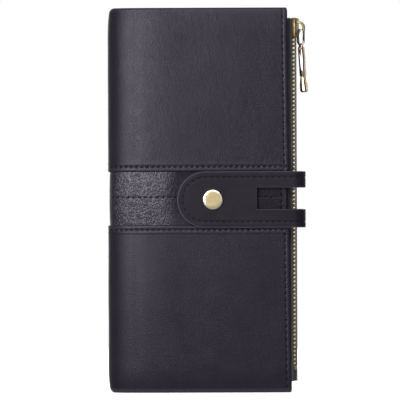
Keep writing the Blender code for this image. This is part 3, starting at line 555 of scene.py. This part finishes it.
acrossPanel = lines(0, cover["length"], panel["seamPitch"] / 6,
                    [(cover["length"] - 4.2 * mm, cover["length"], 0.2 * mm)])
upUpper = lines(cover["bandTop"], cover["top"], 1.1 * mm,
                [(cover["bandTop"], cover["bandTop"] + 5 * mm, 0.2 * mm),
                 (cover["top"] - 1.8 * mm, cover["top"], 0.2 * mm)])
upLower = lines(0, cover["bandBottom"], 1.1 * mm,
                [(0, 1.8 * mm, 0.2 * mm), (cover["bandBottom"] - 6 * mm, cover["bandBottom"], 0.2 * mm)])
for side, label in sides:
    piece = laySheet("upperPanel" + label, acrossPanel, upUpper, panelPlace(side, True),
                     smoothLeather, wornAndSheen=panelWearAndSheen(True))
    standFor(piece, side, "upper_panel")
    piece = laySheet("lowerPanel" + label, acrossPanel, upLower, panelPlace(side, False),
                     smoothLeather, wornAndSheen=panelWearAndSheen(False))
    standFor(piece, side, "lower_panel")
print("panels laid")

# band: set under the panels, swelling a little between them, one row of stitches along its middle
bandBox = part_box("front_band")
band = {"low": bandBox[0].z, "high": bandBox[1].z, "end": cover["length"] - 1.5 * mm,
        "depth": 0.9 * mm, "deepest": 1.75 * mm, "swell": 0.25 * mm, "leather": 0.8 * mm,
        "rowZ": 98.9 * mm, "pitch": 3.06 * mm, "edgeStitch": 2.5 * mm, "pit": 0.26 * mm, "groove": 0.06 * mm,
        "press": 0.5 * mm, "pressFrom": 27 * mm, "pressTo": 37 * mm}  # the strap presses it flat from here on


def underStrap(along, z):  # 0 where the band is free, 1 where the strap lies on it
    share = min(1, max(0, (along - alongAt(band["pressFrom"])) / (band["pressTo"] - band["pressFrom"])))
    return share ** 2 * (3 - 2 * share)


def bandDepth(side, along, z):
    middle = (cover["bandTop"] + cover["bandBottom"]) / 2
    share = (z - middle) / ((cover["bandTop"] - cover["bandBottom"]) / 2)
    edge = band["end"] - along
    depth = band["depth"] - band["swell"] * max(0, 1 - share ** 2)
    depth += ease(along)
    depth += band["press"] * underStrap(along, z) * max(0, 1 - share ** 4)
    depth += band["pit"] * pit(along, z - band["rowZ"], band["pitch"]) * (1 - 0.5 * underStrap(along, z))
    depth += band["groove"] * swell(z, band["rowZ"], 0.3 * mm)
    depth += roll(edge, 0.7 * mm) * 0.6
    depth += band["pit"] * pit(z, edge - band["edgeStitch"], panel["edgePitch"])
    return min(depth - slack(side, along, z, 9) * max(0, 1 - share ** 2), band["deepest"])


def bandPlace(side):
    def place(along, z, inner):
        depth = bandDepth(side, along, z)
        if inner:
            depth = max(band["depth"] + band["leather"], depth + 0.2 * mm)
        return onCover(side, along, z, depth)
    return place


acrossBand = lines(0, band["end"], 0.6 * mm, [(band["end"] - 3.5 * mm, band["end"], 0.25 * mm)])
upBand = lines(band["low"], band["high"], 0.8 * mm,
               [(band["rowZ"] - 1.2 * mm, band["rowZ"] + 1.2 * mm, 0.2 * mm)])
for side, label in sides:
    piece = laySheet("band" + label, acrossBand, upBand, bandPlace(side), pebbledLeather,
                     wornAndSheen=lambda along, z: swell(band["end"] - along, 0.6 * mm, 0.6 * mm), pressedAndShaded=underStrap)
    standFor(piece, side, "band")
print("band laid")

# lining: thin cloth behind the covers, in two halves that meet at the middle of the spine
lining = {"margin": 1.5 * mm, "depth": 2.0 * mm, "cloth": 0.5 * mm}


def liningPlace(side):
    def place(along, z, inner):
        ripple = noise.noise(Vector((along * 60, z * 60, side))) * 0.04 * mm
        return onCover(side, along, z, lining["depth"] + (lining["cloth"] if inner else 0) + ripple)
    return place


for side, label in sides:
    piece = laySheet("lining" + label, lines(0, cover["length"] - lining["margin"], 1.6 * mm),
                     lines(lining["margin"], cover["top"] - lining["margin"], 3 * mm), liningPlace(side),
                     liningCloth)
    standFor(piece, side, "lining")

# stitches: short dark ovals of thread sunk in their grooves
thread = {"radius": 0.29 * mm, "length": 1.65 * mm, "slant": 14, "sunk": 0.10 * mm,
          # looser and prouder at the open edge
          "edgeSunk": -0.06 * mm, "edgeLength": 1.5 * mm, "edgeGirth": 1.4}


def sew(bm, centre, along, outward, length=None, girth=1.0):
    made = bmesh.ops.create_uvsphere(bm, u_segments=8, v_segments=6, radius=1.0)
    along = along.normalized()
    outward = outward.normalized()
    turn = Matrix((outward.cross(along), outward, along)).transposed().to_4x4()
    slant = Matrix.Rotation(math.radians(thread["slant"]), 4, "Y")
    size = Matrix.Diagonal((thread["radius"] * girth, thread["radius"], (length or thread["length"]) / 2, 1))
    bmesh.ops.transform(bm, matrix=Matrix.Translation(centre) @ turn @ slant @ size, verts=made["verts"])


def sewOnCover(bm, side, along, z, depth, upright):
    spot = onCover(side, along, z, depth + thread["edgeSunk" if upright else "sunk"])
    tangent = onCover(side, along + 0.2 * mm, z, depth) - onCover(side, along - 0.2 * mm, z, depth)
    outward = spot - onCover(side, along, z, depth + 1 * mm)
    if upright:
        sew(bm, spot, Vector((0, 0, 1)), outward, thread["edgeLength"], thread["edgeGirth"])
    else:
        sew(bm, spot, tangent, outward)


for side, label in sides:
    bm = bmesh.new()
    for k in range(1, int((cover["length"] - 4 * mm) / panel["seamPitch"])):
        along = k * panel["seamPitch"]
        for upper, z in ((True, cover["bandTop"] + panel["seamStitch"]),
                         (False, cover["bandBottom"] - panel["seamStitch"])):
            sewOnCover(bm, side, along, z, panelDepth(side, along, z, upper), False)
    for k in range(1, int((band["end"] - 4 * mm) / band["pitch"])):
        along = k * band["pitch"]
        sewOnCover(bm, side, along, band["rowZ"], bandDepth(side, along, band["rowZ"]), False)
    for k in range(1, int(cover["top"] / panel["edgePitch"])):
        z = k * panel["edgePitch"]
        if z > cover["top"] - 3 * mm:
            continue
        along = cover["length"] - panel["edgeStitch"]
        if z > cover["bandTop"] + 4 * mm:
            sewOnCover(bm, side, along, z, panelDepth(side, along, z, True), True)
        elif z < cover["bandBottom"] - 4 * mm:
            sewOnCover(bm, side, along, z, panelDepth(side, along, z, False), True)
        elif cover["bandBottom"] + 1 * mm < z < cover["bandTop"] - 1 * mm:
            along = band["end"] - band["edgeStitch"]
            sewOnCover(bm, side, along, z, bandDepth(side, along, z), True)
    piece = finishPiece("coverStitches" + label, bm, threadLook, 180)
    foldWith(piece, side)
print("covers sewn")

# strap: face and backing glued into one thick strap, forked at the open edge, base sewn to the back
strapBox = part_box("strap_face")
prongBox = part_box("strap_upper_prong")
strap = {"tip": strapBox[0].x - spineX, "baseTip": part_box("strap_base")[0].x - spineX,
         "bendX": strapBox[1].x - spineX + 0.15 * mm, "outer": cover["middleY"] - strapBox[0].y,
         "bend": 6 * mm, "thick": 2.4 * mm,
         "middle": (strapBox[0].z + strapBox[1].z) / 2, "radius": (strapBox[1].z - strapBox[0].z) / 2,
         "windowX": 75.5 * mm, "windowLow": 92.9 * mm, "windowHigh": prongBox[0].z,
         "edge": 0.5 * mm, "stitchIn": 3.0 * mm, "pitch": 3.1 * mm, "groove": 0.14 * mm}


def strapLength(tip):
    return strap["bendX"] - tip + math.pi / 2 * strap["bend"] + strap["outer"] - strap["bend"]


def strapGap(tip, along, z):  # distance to the outline, and to the window's edge
    rim = strap["radius"] - math.hypot(max(strap["radius"] - along, 0), z - strap["middle"])
    off = max(z - strap["windowHigh"], strap["windowLow"] - z, 0)
    window = math.hypot(max(strap["windowX"] - tip - along, 0), off)
    return max(rim, 0), window


def tipShare(along):  # how much of the strap's height is left at a distance from its round tip
    radius = strap["radius"]
    return math.sqrt(max(radius ** 2 - (radius - along) ** 2, 0)) / radius if along < radius else 1.0


def strapPlace(side, tip):
    def place(along, z, inner):
        z = strap["middle"] + (z - strap["middle"]) * tipShare(along)
        rim, window = strapGap(tip, along, z)
        depth = roll(rim, strap["edge"]) + roll(window, strap["edge"])
        if inner:
            depth = strap["thick"] - depth * 0.5
        else:
            depth += strap["groove"] * swell(rim, strap["stitchIn"], 0.45 * mm)
            depth -= 0.06 * mm * swell(rim, 1.4 * mm, 0.8 * mm)
            depth -= noise.noise(Vector((along * 45, z * 45, side * 5))) * 0.06 * mm * min(1, rim / (2 * mm))
        # flat on the wallet, then round the bend, then straight along the open edge
        past = along - (strap["bendX"] - tip)
        angle = min(max(past / strap["bend"], 0), math.pi / 2)
        outX, outY = math.sin(angle), math.cos(angle)
        x = strap["bendX"] + min(past, 0) + strap["bend"] * outX
        y = strap["outer"] - strap["bend"] * (1 - outY) - max(past - math.pi / 2 * strap["bend"], 0)
        return Vector((spineX + x - outX * depth, cover["middleY"] + side * (y - outY * depth), z))
    return place


def strapWear(tip, along, z):
    rim, window = strapGap(tip, along, strap["middle"] + (z - strap["middle"]) * tipShare(along))
    return min(1.0, swell(rim, 0.1 * mm, 0.25 * mm) + 0.6 * swell(window, 0.1 * mm, 0.25 * mm))


def strapCut(name, side, tip):
    length = strapLength(tip)
    low, high = strap["middle"] - strap["radius"], strap["middle"] + strap["radius"]
    window = strap["windowX"] - tip
    across = [strap["radius"] * (1 - math.cos(math.pi / 2 * i / 16)) for i in range(16)]
    across += lines(strap["radius"], length, 1.0 * mm,
                    [(window - 0.8 * mm, window, 0.2 * mm), (length - 18 * mm, length, 0.6 * mm)])
    edges = (low, strap["windowLow"], strap["windowHigh"], high)
    up = lines(low, high, 0.8 * mm, [(edge - 0.8 * mm, edge + 0.8 * mm, 0.16 * mm) for edge in edges]
               + [(low + 2.2 * mm, low + 3.8 * mm, 0.25 * mm), (high - 3.8 * mm, high - 2.2 * mm, 0.25 * mm)]
               + [(edge, edge + 0.01 * mm, 1) for edge in edges[1:3]])
    return laySheet(name, across, up, strapPlace(side, tip), strapLeather,
                    gone=lambda spot: spot.x > window and strap["windowLow"] < spot.y < strap["windowHigh"],
                    wornAndSheen=lambda along, z: strapWear(tip, along, z))


def strapStitches(bm, side, tip):
    place = strapPlace(side, tip)
    inset = strap["radius"] - strap["stitchIn"]
    rows = []
    count = round(math.pi * inset / strap["pitch"])
    for k in range(count + 1):  # round the tip
        angle = math.pi * (k / count - 0.5)
        along = strap["radius"] - inset * math.cos(angle)
        rows.append((along, strap["middle"] + inset * math.sin(angle), angle))
    last = strap["bendX"] - tip + 5 * mm
    for k in range(1, int((last - strap["radius"]) / strap["pitch"]) + 1):
        along = strap["radius"] + k * strap["pitch"]
        rows += [(along, strap["middle"] + inset, math.pi / 2),
                 (along, strap["middle"] - inset, -math.pi / 2)]
    for along, z, angle in rows:
        # undo the rounding that the place applies
        flatZ = strap["middle"] + (z - strap["middle"]) / tipShare(along)
        spot = place(along, flatZ, False)
        outward = spot - place(along, flatZ, True)
        tangent = place(along + 0.3 * mm, flatZ, False) - place(along - 0.3 * mm, flatZ, False)
        if along < strap["radius"]:
            tangent = Vector((math.sin(angle), 0, math.cos(angle)))
        sew(bm, spot, tangent, outward, 1.1 * mm)
    return bm


strapFront = strapCut("strapFront", -1, strap["tip"])
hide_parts("strap_face", "strap_backing")
strapBack = strapCut("strapBack", 1, strap["baseTip"])
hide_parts("strap_base", "strap_upper_prong", "strap_lower_prong")
# the strap turns round the open edge between these places, the same on both sides
sewnFront = finishPiece("strapStitchesFront", strapStitches(bmesh.new(), -1, strap["tip"]), threadLook,
                        180)
sewnBack = finishPiece("strapStitchesBack", strapStitches(bmesh.new(), 1, strap["baseTip"]), threadLook,
                       180)
for piece in (strapFront, sewnFront):
    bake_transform(piece)
for piece in (strapBack, sewnBack):
    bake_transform(piece)
print("strap made")

# snap cap: spun disc with a rolled rim and a low crown
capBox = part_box("snap_cap")
cap = {"radius": (capBox[1].x - capBox[0].x) / 2, "high": 1.4 * mm,
       "profile": [(0.00, 0.92), (0.50, 0.918), (0.76, 0.91), (0.80, 0.90), (0.86, 0.87), (0.91, 0.82),
                   (0.95, 0.74), (0.98, 0.60), (1.00, 0.40), (0.995, 0.20), (0.96, 0.02), (0.80, 0.00),
                   (0.00, 0.00)], "rim": 0.79}
capCentre = Vector(((capBox[0].x + capBox[1].x) / 2, capBox[0].y + cap["high"],
                    (capBox[0].z + capBox[1].z) / 2))
bm = bmesh.new()
ring = [bm.verts.new(capCentre + Vector((share * cap["radius"], -rise * cap["high"], 0)))
        for share, rise in cap["profile"]]
wire = [bm.edges.new(pair) for pair in zip(ring, ring[1:])]
bmesh.ops.spin(bm, geom=ring + wire, cent=capCentre, axis=(0, 1, 0), angle=math.tau, steps=64, use_merge=True)
bmesh.ops.remove_doubles(bm, verts=bm.verts, dist=1e-7)
tarnishAndPaintedLight = bm.verts.layers.float.new("tarnishAndPaintedLight")
for vert in bm.verts:  # the rim is painted paler: a painted reflection of the bright surround on its rounded bevel
    out = math.hypot(vert.co.x - capCentre.x, vert.co.z - capCentre.z)
    vert[tarnishAndPaintedLight] = 1.0 if out > cap["rim"] * cap["radius"] else 0.0
snapCap = finishPiece("snapCap", bm, gold, 50)
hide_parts("snap_cap")
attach(snapCap, "strap_tab")
print("snap made")

# coin pocket: two soft walls joined by a fold at the spine, the back one standing out past the zip
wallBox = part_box("pocket_back_wall")
pocket = {"low": wallBox[0].z, "high": wallBox[1].z, "half": 5.8 * mm, "leather": 1.0 * mm,
          "start": wallBox[0].x - spineX, "corner": 3 * mm, "plump": 0.25 * mm,
          "stitchIn": 2.2 * mm, "pitch": 3.0 * mm,
          "foldX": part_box("pocket_fold")[0].x - spineX, "foldReach": 4 * mm}


def roundedEnd(x, z, end, radius, low, high):  # z pulled in at the two corners of a free end
    into = max(0.0, x - (end - radius))
    drop = radius - math.sqrt(max(radius ** 2 - into ** 2, 0))
    rise = (z - (low + high) / 2) / ((high - low) / 2)
    return z - drop * math.copysign(max(0, (abs(rise) - 0.9) / 0.1) ** 2, rise)


def wallDepth(side, x, z, end):
    near = min(end - x, z - pocket["low"], pocket["high"] - z)
    share = (x - pocket["start"]) / (end - pocket["start"])
    rise = (z - pocket["low"]) / (pocket["high"] - pocket["low"])
    depth = roll(near, 0.4 * mm) + 0.18 * mm * swell(end - x, pocket["stitchIn"], 0.45 * mm)
    depth -= pocket["plump"] * math.sin(math.pi * share) * math.sin(math.pi * rise)
    return depth - slack(side, x, z, 20) * min(1, near / (6 * mm)) * 0.6


def wallPlace(side, end):
    def place(x, z, inner):
        depth = pocket["leather"] if inner else wallDepth(side, x, z, end)
        lowered = roundedEnd(x, z, end, pocket["corner"], pocket["low"], pocket["high"])
        return Vector((spineX + x, cover["middleY"] + side * (pocket["half"] - depth), lowered))
    return place


for side, label in sides:
    node = "pocket_" + label.lower() + "_wall"
    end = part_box(node)[1].x - spineX
    acrossWall = lines(pocket["start"], end, 1.6 * mm, [(end - 3.6 * mm, end, 0.3 * mm)])
    upWall = lines(pocket["low"], pocket["high"], 2.0 * mm,
                   [(pocket["low"], pocket["low"] + 1 * mm, 0.2 * mm),
                    (pocket["high"] - 1 * mm, pocket["high"], 0.2 * mm)])
    piece = laySheet("pocketWall" + label, acrossWall, upWall, wallPlace(side, end),
                     smoothLeather, wornAndSheen=lambda x, z: swell(end - x, 0.3 * mm, 0.5 * mm))
    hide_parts(node)
    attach(piece, "back_cover")
    bm = bmesh.new()
    for k in range(2, int((pocket["high"] - pocket["low"]) / pocket["pitch"]) - 1):
        z = pocket["low"] + k * pocket["pitch"]
        x = end - pocket["stitchIn"]
        spot = wallPlace(side, end)(x, z, False)
        sew(bm, spot, Vector((0, 0, 1)), Vector((0, side, 0)))
    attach(finishPiece("pocketStitches" + label, bm, threadLook, 180), "back_cover")


def foldPlace(angle, z, inner):
    into = pocket["leather"] if inner else 0
    x = pocket["foldX"] + pocket["foldReach"] - (pocket["foldReach"] - into) * math.cos(angle)
    return Vector((spineX + x, cover["middleY"] + (pocket["half"] - into) * math.sin(angle), z))


piece = laySheet("pocketFold", [math.pi * (i / 24 - 0.5) for i in range(25)],
                 lines(pocket["low"], pocket["high"], 4 * mm), foldPlace, smoothLeather)
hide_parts("pocket_fold")
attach(piece, "back_cover")

# gussets: cloth folded in at the top and foot of the pocket and of the note space
gusset = {"cloth": 0.5 * mm, "deep": 6 * mm, "noteDeep": 3.6 * mm, "inset": 0.3 * mm}


def gussetPlace(low, high, edge, inward, deep):
    def place(share, x, inner):
        dip = (1 - abs(share) ** 1.4) * deep + (gusset["cloth"] if inner else 0)
        y = (high.y + low.y) / 2 + share * ((high.y - low.y) / 2 - 0.1 * mm)
        return Vector((spineX + x, y, edge + inward * (gusset["inset"] + dip)))
    return place


for label, edge, inward in (("Top", pocket["high"], -1), ("Bottom", pocket["low"], 1)):
    for name, node, deep in (("pocketGusset", "pocket_" + label.lower() + "_gusset", gusset["deep"]),
                             ("noteGusset", "bill_" + label.lower() + "_gusset", gusset["noteDeep"])):
        low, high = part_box(node)
        piece = laySheet(name + label, [i / 12 - 1 for i in range(25)],
                         lines(low.x - spineX, high.x - spineX, 4 * mm),
                         gussetPlace(low, high, edge, inward, deep), liningCloth)
        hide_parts(node)
        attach(piece, "back_cover")

# note divider: thin cloth sheet against the back lining
low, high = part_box("bill_divider")
divider = {"lowX": low.x - spineX, "highX": high.x - spineX, "lowZ": low.z, "highZ": high.z,
           "y": low.y, "cloth": high.y - low.y, "hem": 2 * mm}


def dividerPlace(x, z, inner):
    near = min(divider["highX"] - x, z - divider["lowZ"], divider["highZ"] - z)
    dip = roll(near, 0.2 * mm) + 0.06 * mm * swell(near, divider["hem"], 0.3 * mm)
    return Vector((spineX + x, divider["y"] + (divider["cloth"] if inner else dip), z))


acrossDivider = lines(divider["lowX"], divider["highX"], 3 * mm,
                      [(divider["highX"] - 3 * mm, divider["highX"], 0.3 * mm)])
upDivider = lines(low.z, high.z, 6 * mm,
                  [(low.z, low.z + 3 * mm, 0.4 * mm), (high.z - 3 * mm, high.z, 0.4 * mm)])
piece = laySheet("noteDivider", acrossDivider, upDivider, dividerPlace, liningCloth)
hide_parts("bill_divider")
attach(piece, "back_cover")

# card slots: four lapped tiers on the front lining, each with a turned, creased edge, sewn down the middle
slots = {"leather": 0.5 * mm, "crease": 1.6 * mm, "middle": cover["top"] / 2}


def slotPlace(low, high):
    def place(x, z, inner):
        share = (x - (low.x - spineX)) / (high.x - low.x)
        base = low.y + (high.y - low.y - slots["leather"]) * share
        edge = high.x - spineX - x
        near = min(edge, z - low.z, high.z - z)
        if inner:
            return Vector((spineX + x, base, z))
        dip = roll(near, 0.25 * mm) + 0.09 * mm * swell(edge, slots["crease"], 0.3 * mm)
        dip += 0.15 * mm * swell(z, slots["middle"], 0.5 * mm) - 0.05 * mm * swell(edge, 0.7 * mm, 0.6 * mm)
        return Vector((spineX + x, base + slots["leather"] - dip, z))
    return place


bm = bmesh.new()
for tier in range(1, 5):
    low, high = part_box("card_slot_" + str(tier))
    place = slotPlace(low, high)
    end = high.x - spineX
    acrossSlot = lines(low.x - spineX, end, 2 * mm, [(end - 3 * mm, end, 0.25 * mm)])
    upSlot = lines(low.z, high.z, 3 * mm,
                   [(low.z, low.z + 1 * mm, 0.25 * mm), (high.z - 1 * mm, high.z, 0.25 * mm),
                    (slots["middle"] - 1.2 * mm, slots["middle"] + 1.2 * mm, 0.2 * mm)])
    piece = laySheet("cardSlot" + str(tier), acrossSlot, upSlot, place,
                     smoothLeather, wornAndSheen=lambda x, z: swell(end - x, 0.3 * mm, 0.5 * mm))
    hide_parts("card_slot_" + str(tier))
    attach(piece, "front_cover")
    for k in range(5):  # the stretch of the middle row that this tier shows
        x = end - 1.5 * mm - k * 2.7 * mm
        sew(bm, place(x, slots["middle"], False), Vector((1, 0, 0)), Vector((0, 1, 0)))
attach(finishPiece("slotStitches", bm, threadLook, 180), "front_cover")
print("inside made")

# zip: tapes with a corded edge, single brass teeth clamped over it
zipper = {"x": 94.2 * mm, "tilt": math.radians(20), "pitch": 2.08 * mm, "count": 83, "first": 13.975 * mm,
          "tooth": 1.0 * mm, "deep": 0.85 * mm, "leg": 2.2 * mm, "head": 0.9 * mm,
          "sunk": 0.12 * mm, "slant": 0.75,
          "tape": 0.5 * mm, "cord": 0.5 * mm, "sewX": 86.5 * mm, "sewY": 4.35 * mm}


def zipSpot(out, back, z):  # out of the zip's face, and across it to the back
    cosTilt, sinTilt = math.cos(zipper["tilt"]), math.sin(zipper["tilt"])
    return Vector((spineX + zipper["x"] + out * cosTilt + back * sinTilt,
                   cover["middleY"] - out * sinTilt + back * cosTilt, z))


def tapePlace(side):
    bendU = zipper["sewY"] / math.cos(zipper["tilt"])

    def place(along, z, inner):  # along: 0 at the cord, then round the bend to the sewn edge
        corded = math.sin(math.pi / 2 * max(0, 1 - along / (1.3 * mm)) ** 0.5)
        if along <= 0.02 * mm:  # the cord's round outer edge
            corded *= 0.5
        half = zipper["tape"] / 2 + (zipper["cord"] - zipper["tape"] / 2) * corded
        offset = -half if inner else half
        run = bendU - 1.0 * mm
        if along < run:
            return zipSpot(offset, side * (1.0 * mm + along), z)
        x = zipSpot(0, side * bendU, z).x - (along - run) + offset * math.cos(zipper["tilt"])
        return Vector((x, cover["middleY"] + side * (zipper["sewY"] - offset), z))
    return place


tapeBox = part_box("zip_tape_front")
for side, label in sides:
    run = zipper["sewY"] / math.cos(zipper["tilt"]) - 1.0 * mm
    total = run + zipper["x"] + side * zipper["sewY"] * math.tan(zipper["tilt"]) - zipper["sewX"]
    piece = laySheet("zipTape" + label, lines(0, total, 0.7 * mm, [(0, 1.4 * mm, 0.2 * mm)]),
                     lines(tapeBox[0].z, tapeBox[1].z, 3 * mm), tapePlace(side), tapeCloth)
    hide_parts("zip_tape_" + label.lower())
    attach(piece, "back_cover")


def cutTooth(side):
    bm = bmesh.new()
    bmesh.ops.create_cube(bm, size=1.0)
    size = Matrix.Diagonal((zipper["deep"] * 2, zipper["leg"] + zipper["head"], zipper["tooth"], 1))
    bmesh.ops.transform(bm, matrix=size, verts=bm.verts)
    bmesh.ops.bevel(bm, geom=bm.edges[:], offset=0.10 * mm, offset_type="OFFSET", affect="EDGES", segments=1,
                    profile=0.5, material=-1)
    for vert in bm.verts:  # nose narrows to fit between its neighbours
        vert.co.y -= (zipper["leg"] - zipper["head"]) / 2
        if vert.co.y > 0:
            vert.co.z *= 0.72
            vert.co.x *= 0.85
    bmesh.ops.transform(bm, matrix=Matrix.Diagonal((1, -side, 1, 1)), verts=bm.verts)
    return bm


for side, label in sides:
    bm = cutTooth(side)
    tarnishAndPaintedLight = bm.verts.layers.float.new("tarnishAndPaintedLight")
    for vert in bm.verts:
        # the front row keeps its pale painted highlight; the back row is painted dark: painted shade behind the
        # front row
        vert[tarnishAndPaintedLight] = 0.0 if side < 0 else 0.85
    first = bm.verts[:] + bm.edges[:] + bm.faces[:]
    for k in range(1, zipper["count"]):
        copy = bmesh.ops.duplicate(bm, geom=first)["geom"]
        bmesh.ops.translate(bm, vec=(0, 0, k * zipper["pitch"]),
                            verts=[item for item in copy if isinstance(item, bmesh.types.BMVert)])
    shift = zipper["first"] + (zipper["pitch"] / 2 if side > 0 else 0)
    for vert in bm.verts:
        vert.co = zipSpot(vert.co.x - zipper["sunk"], vert.co.y,
                          vert.co.z + zipper["slant"] * vert.co.x + shift)
    piece = finishPiece("zipTeeth" + label, bm, toothBrass, 30)
    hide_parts("zip_teeth_" + label.lower())
    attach(piece, "back_cover")
print("zip made")


# cast and stamped metal: the solids' own shapes with their edges rounded off
def roundedCopy(name, node, width, look, body, shape=None, stainAndShade=None, cuts=()):
    bm = bmesh.new()
    bm.from_mesh(frame["nodes"][node].data)
    bmesh.ops.remove_doubles(bm, verts=bm.verts, dist=1e-7)
    bmesh.ops.dissolve_limit(bm, angle_limit=math.radians(1), verts=bm.verts, edges=bm.edges)
    for vert in bm.verts:
        vert.co = shape(vert.co) if shape else vert.co
    sharp = [edge for edge in bm.edges if edge.calc_face_angle(0) > math.radians(28)]
    bmesh.ops.bevel(bm, geom=sharp, offset=width, offset_type="OFFSET", affect="EDGES", segments=2,
                    profile=0.5, material=-1, clamp_overlap=True)
    for spot, facing in cuts:  # edges where a stain starts or stops
        everything = bm.verts[:] + bm.edges[:] + bm.faces[:]
        bmesh.ops.bisect_plane(bm, geom=everything, plane_co=spot, plane_no=facing)
    tarnishAndPaintedLight = bm.verts.layers.float.new("tarnishAndPaintedLight")
    for vert in bm.verts:
        vert[tarnishAndPaintedLight] = stainAndShade(vert.co) if stainAndShade else 0.0
    piece = finishPiece(name, bm, look, 40)
    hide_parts(node)
    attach(piece, body)


# the tab as it hangs, in its own frame: flatter sides than the solid's, and plating worn olive on the slope
joints = {joint["name"]: joint for joint in frame["record"]["behaviour"]["joints"]}
tab = {"half": 1.1 * mm, "wide": 1.8 * mm, "chamfer": 0.45 * mm, "thicker": 1.18, "longer": 1.25,
       "turn": Matrix.Rotation(math.radians(-6), 3, "Z"), "hang": Matrix.Rotation(math.radians(-4), 4, "Y"),
       "neck": -2.2 * mm, "slopeTop": -17.4 * mm, "slopeFoot": -21.5 * mm}
tab["frame"] = (Matrix.Translation(joints["pull_swing"]["pos_m"])
                @ Matrix.Rotation(-zipper["tilt"], 4, "Z") @ tab["hang"])
tab["back"] = tab["frame"].inverted()


def squareTab(spot):
    x, y, z = tab["back"] @ spot
    if z < tab["neck"]:
        u, v = abs(x) / tab["half"], abs(y) / tab["wide"]
        sloped = (abs(x) + abs(y)) / (tab["half"] + tab["wide"] - tab["chamfer"])
        grow = (u ** 3.5 + v ** 3.5) ** (1 / 3.5) / max(u, v, sloped)
        x, y = x * grow * tab["thicker"], y * grow
    if z < tab["slopeFoot"]:
        z = tab["slopeFoot"] + (z - tab["slopeFoot"]) * tab["longer"]
    return tab["frame"] @ (tab["turn"] @ Vector((x, y, z)))


def stainTab(spot):
    z = (tab["back"] @ spot).z
    return 0.7 if tab["slopeFoot"] - 0.05 * mm < z < tab["slopeTop"] + 0.05 * mm else 0.0


def stainAndShadeSlider(spot):  # brown on the crown, painted shade near the top under the top plate, bright on the body
    return 0.6 if spot.x - spineX > 97.4 * mm else 0.5 if spot.z > 188.4 * mm else 0.0


roundedCopy("zipSlider", "slider_body", 0.16 * mm, brass, "zip_slider", stainAndShade=stainAndShadeSlider)
linkMiddle = (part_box("pull_link")[0].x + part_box("pull_link")[1].x) / 2
# the link's right half is painted darker: painted shade on the side away from the key light
roundedCopy("pullLink", "pull_link", 0.22 * mm, greyNickel, "link",
            stainAndShade=lambda spot: 0.7 if spot.x > linkMiddle else 0.0)
tabDown = tab["frame"].to_3x3() @ Vector((0, 0, -1))
stainEnds = (tab["slopeTop"], tab["slopeTop"] + 0.3 * mm, tab["slopeFoot"], tab["slopeFoot"] - 0.3 * mm)
tabCuts = [(tab["frame"] @ Vector((0, 0, z)), tabDown) for z in stainEnds]
roundedCopy("pullTab", "pull_tab", 0.12 * mm, nickel, "pull", squareTab, stainTab, tabCuts)
roundedCopy("pullRivet", "pull_rivet", 0.06 * mm, brass, "pull", stainAndShade=lambda spot: 0.5)
for node in ("zip_top_stop_front", "zip_top_stop_back", "zip_bottom_stop"):
    roundedCopy(node + "_cast", node, 0.2 * mm, brass, "back_cover")

# pieces whose solids are right as they are take the finishes
finishes = {"snap_socket": brass, "snap_stud": brass,
            "front_upper_board": boardLook, "front_lower_board": boardLook,
            "back_upper_board": boardLook, "back_lower_board": boardLook}
for node, look in finishes.items():
    frame["nodes"][node].material_slots[0].material = look

print("finished")
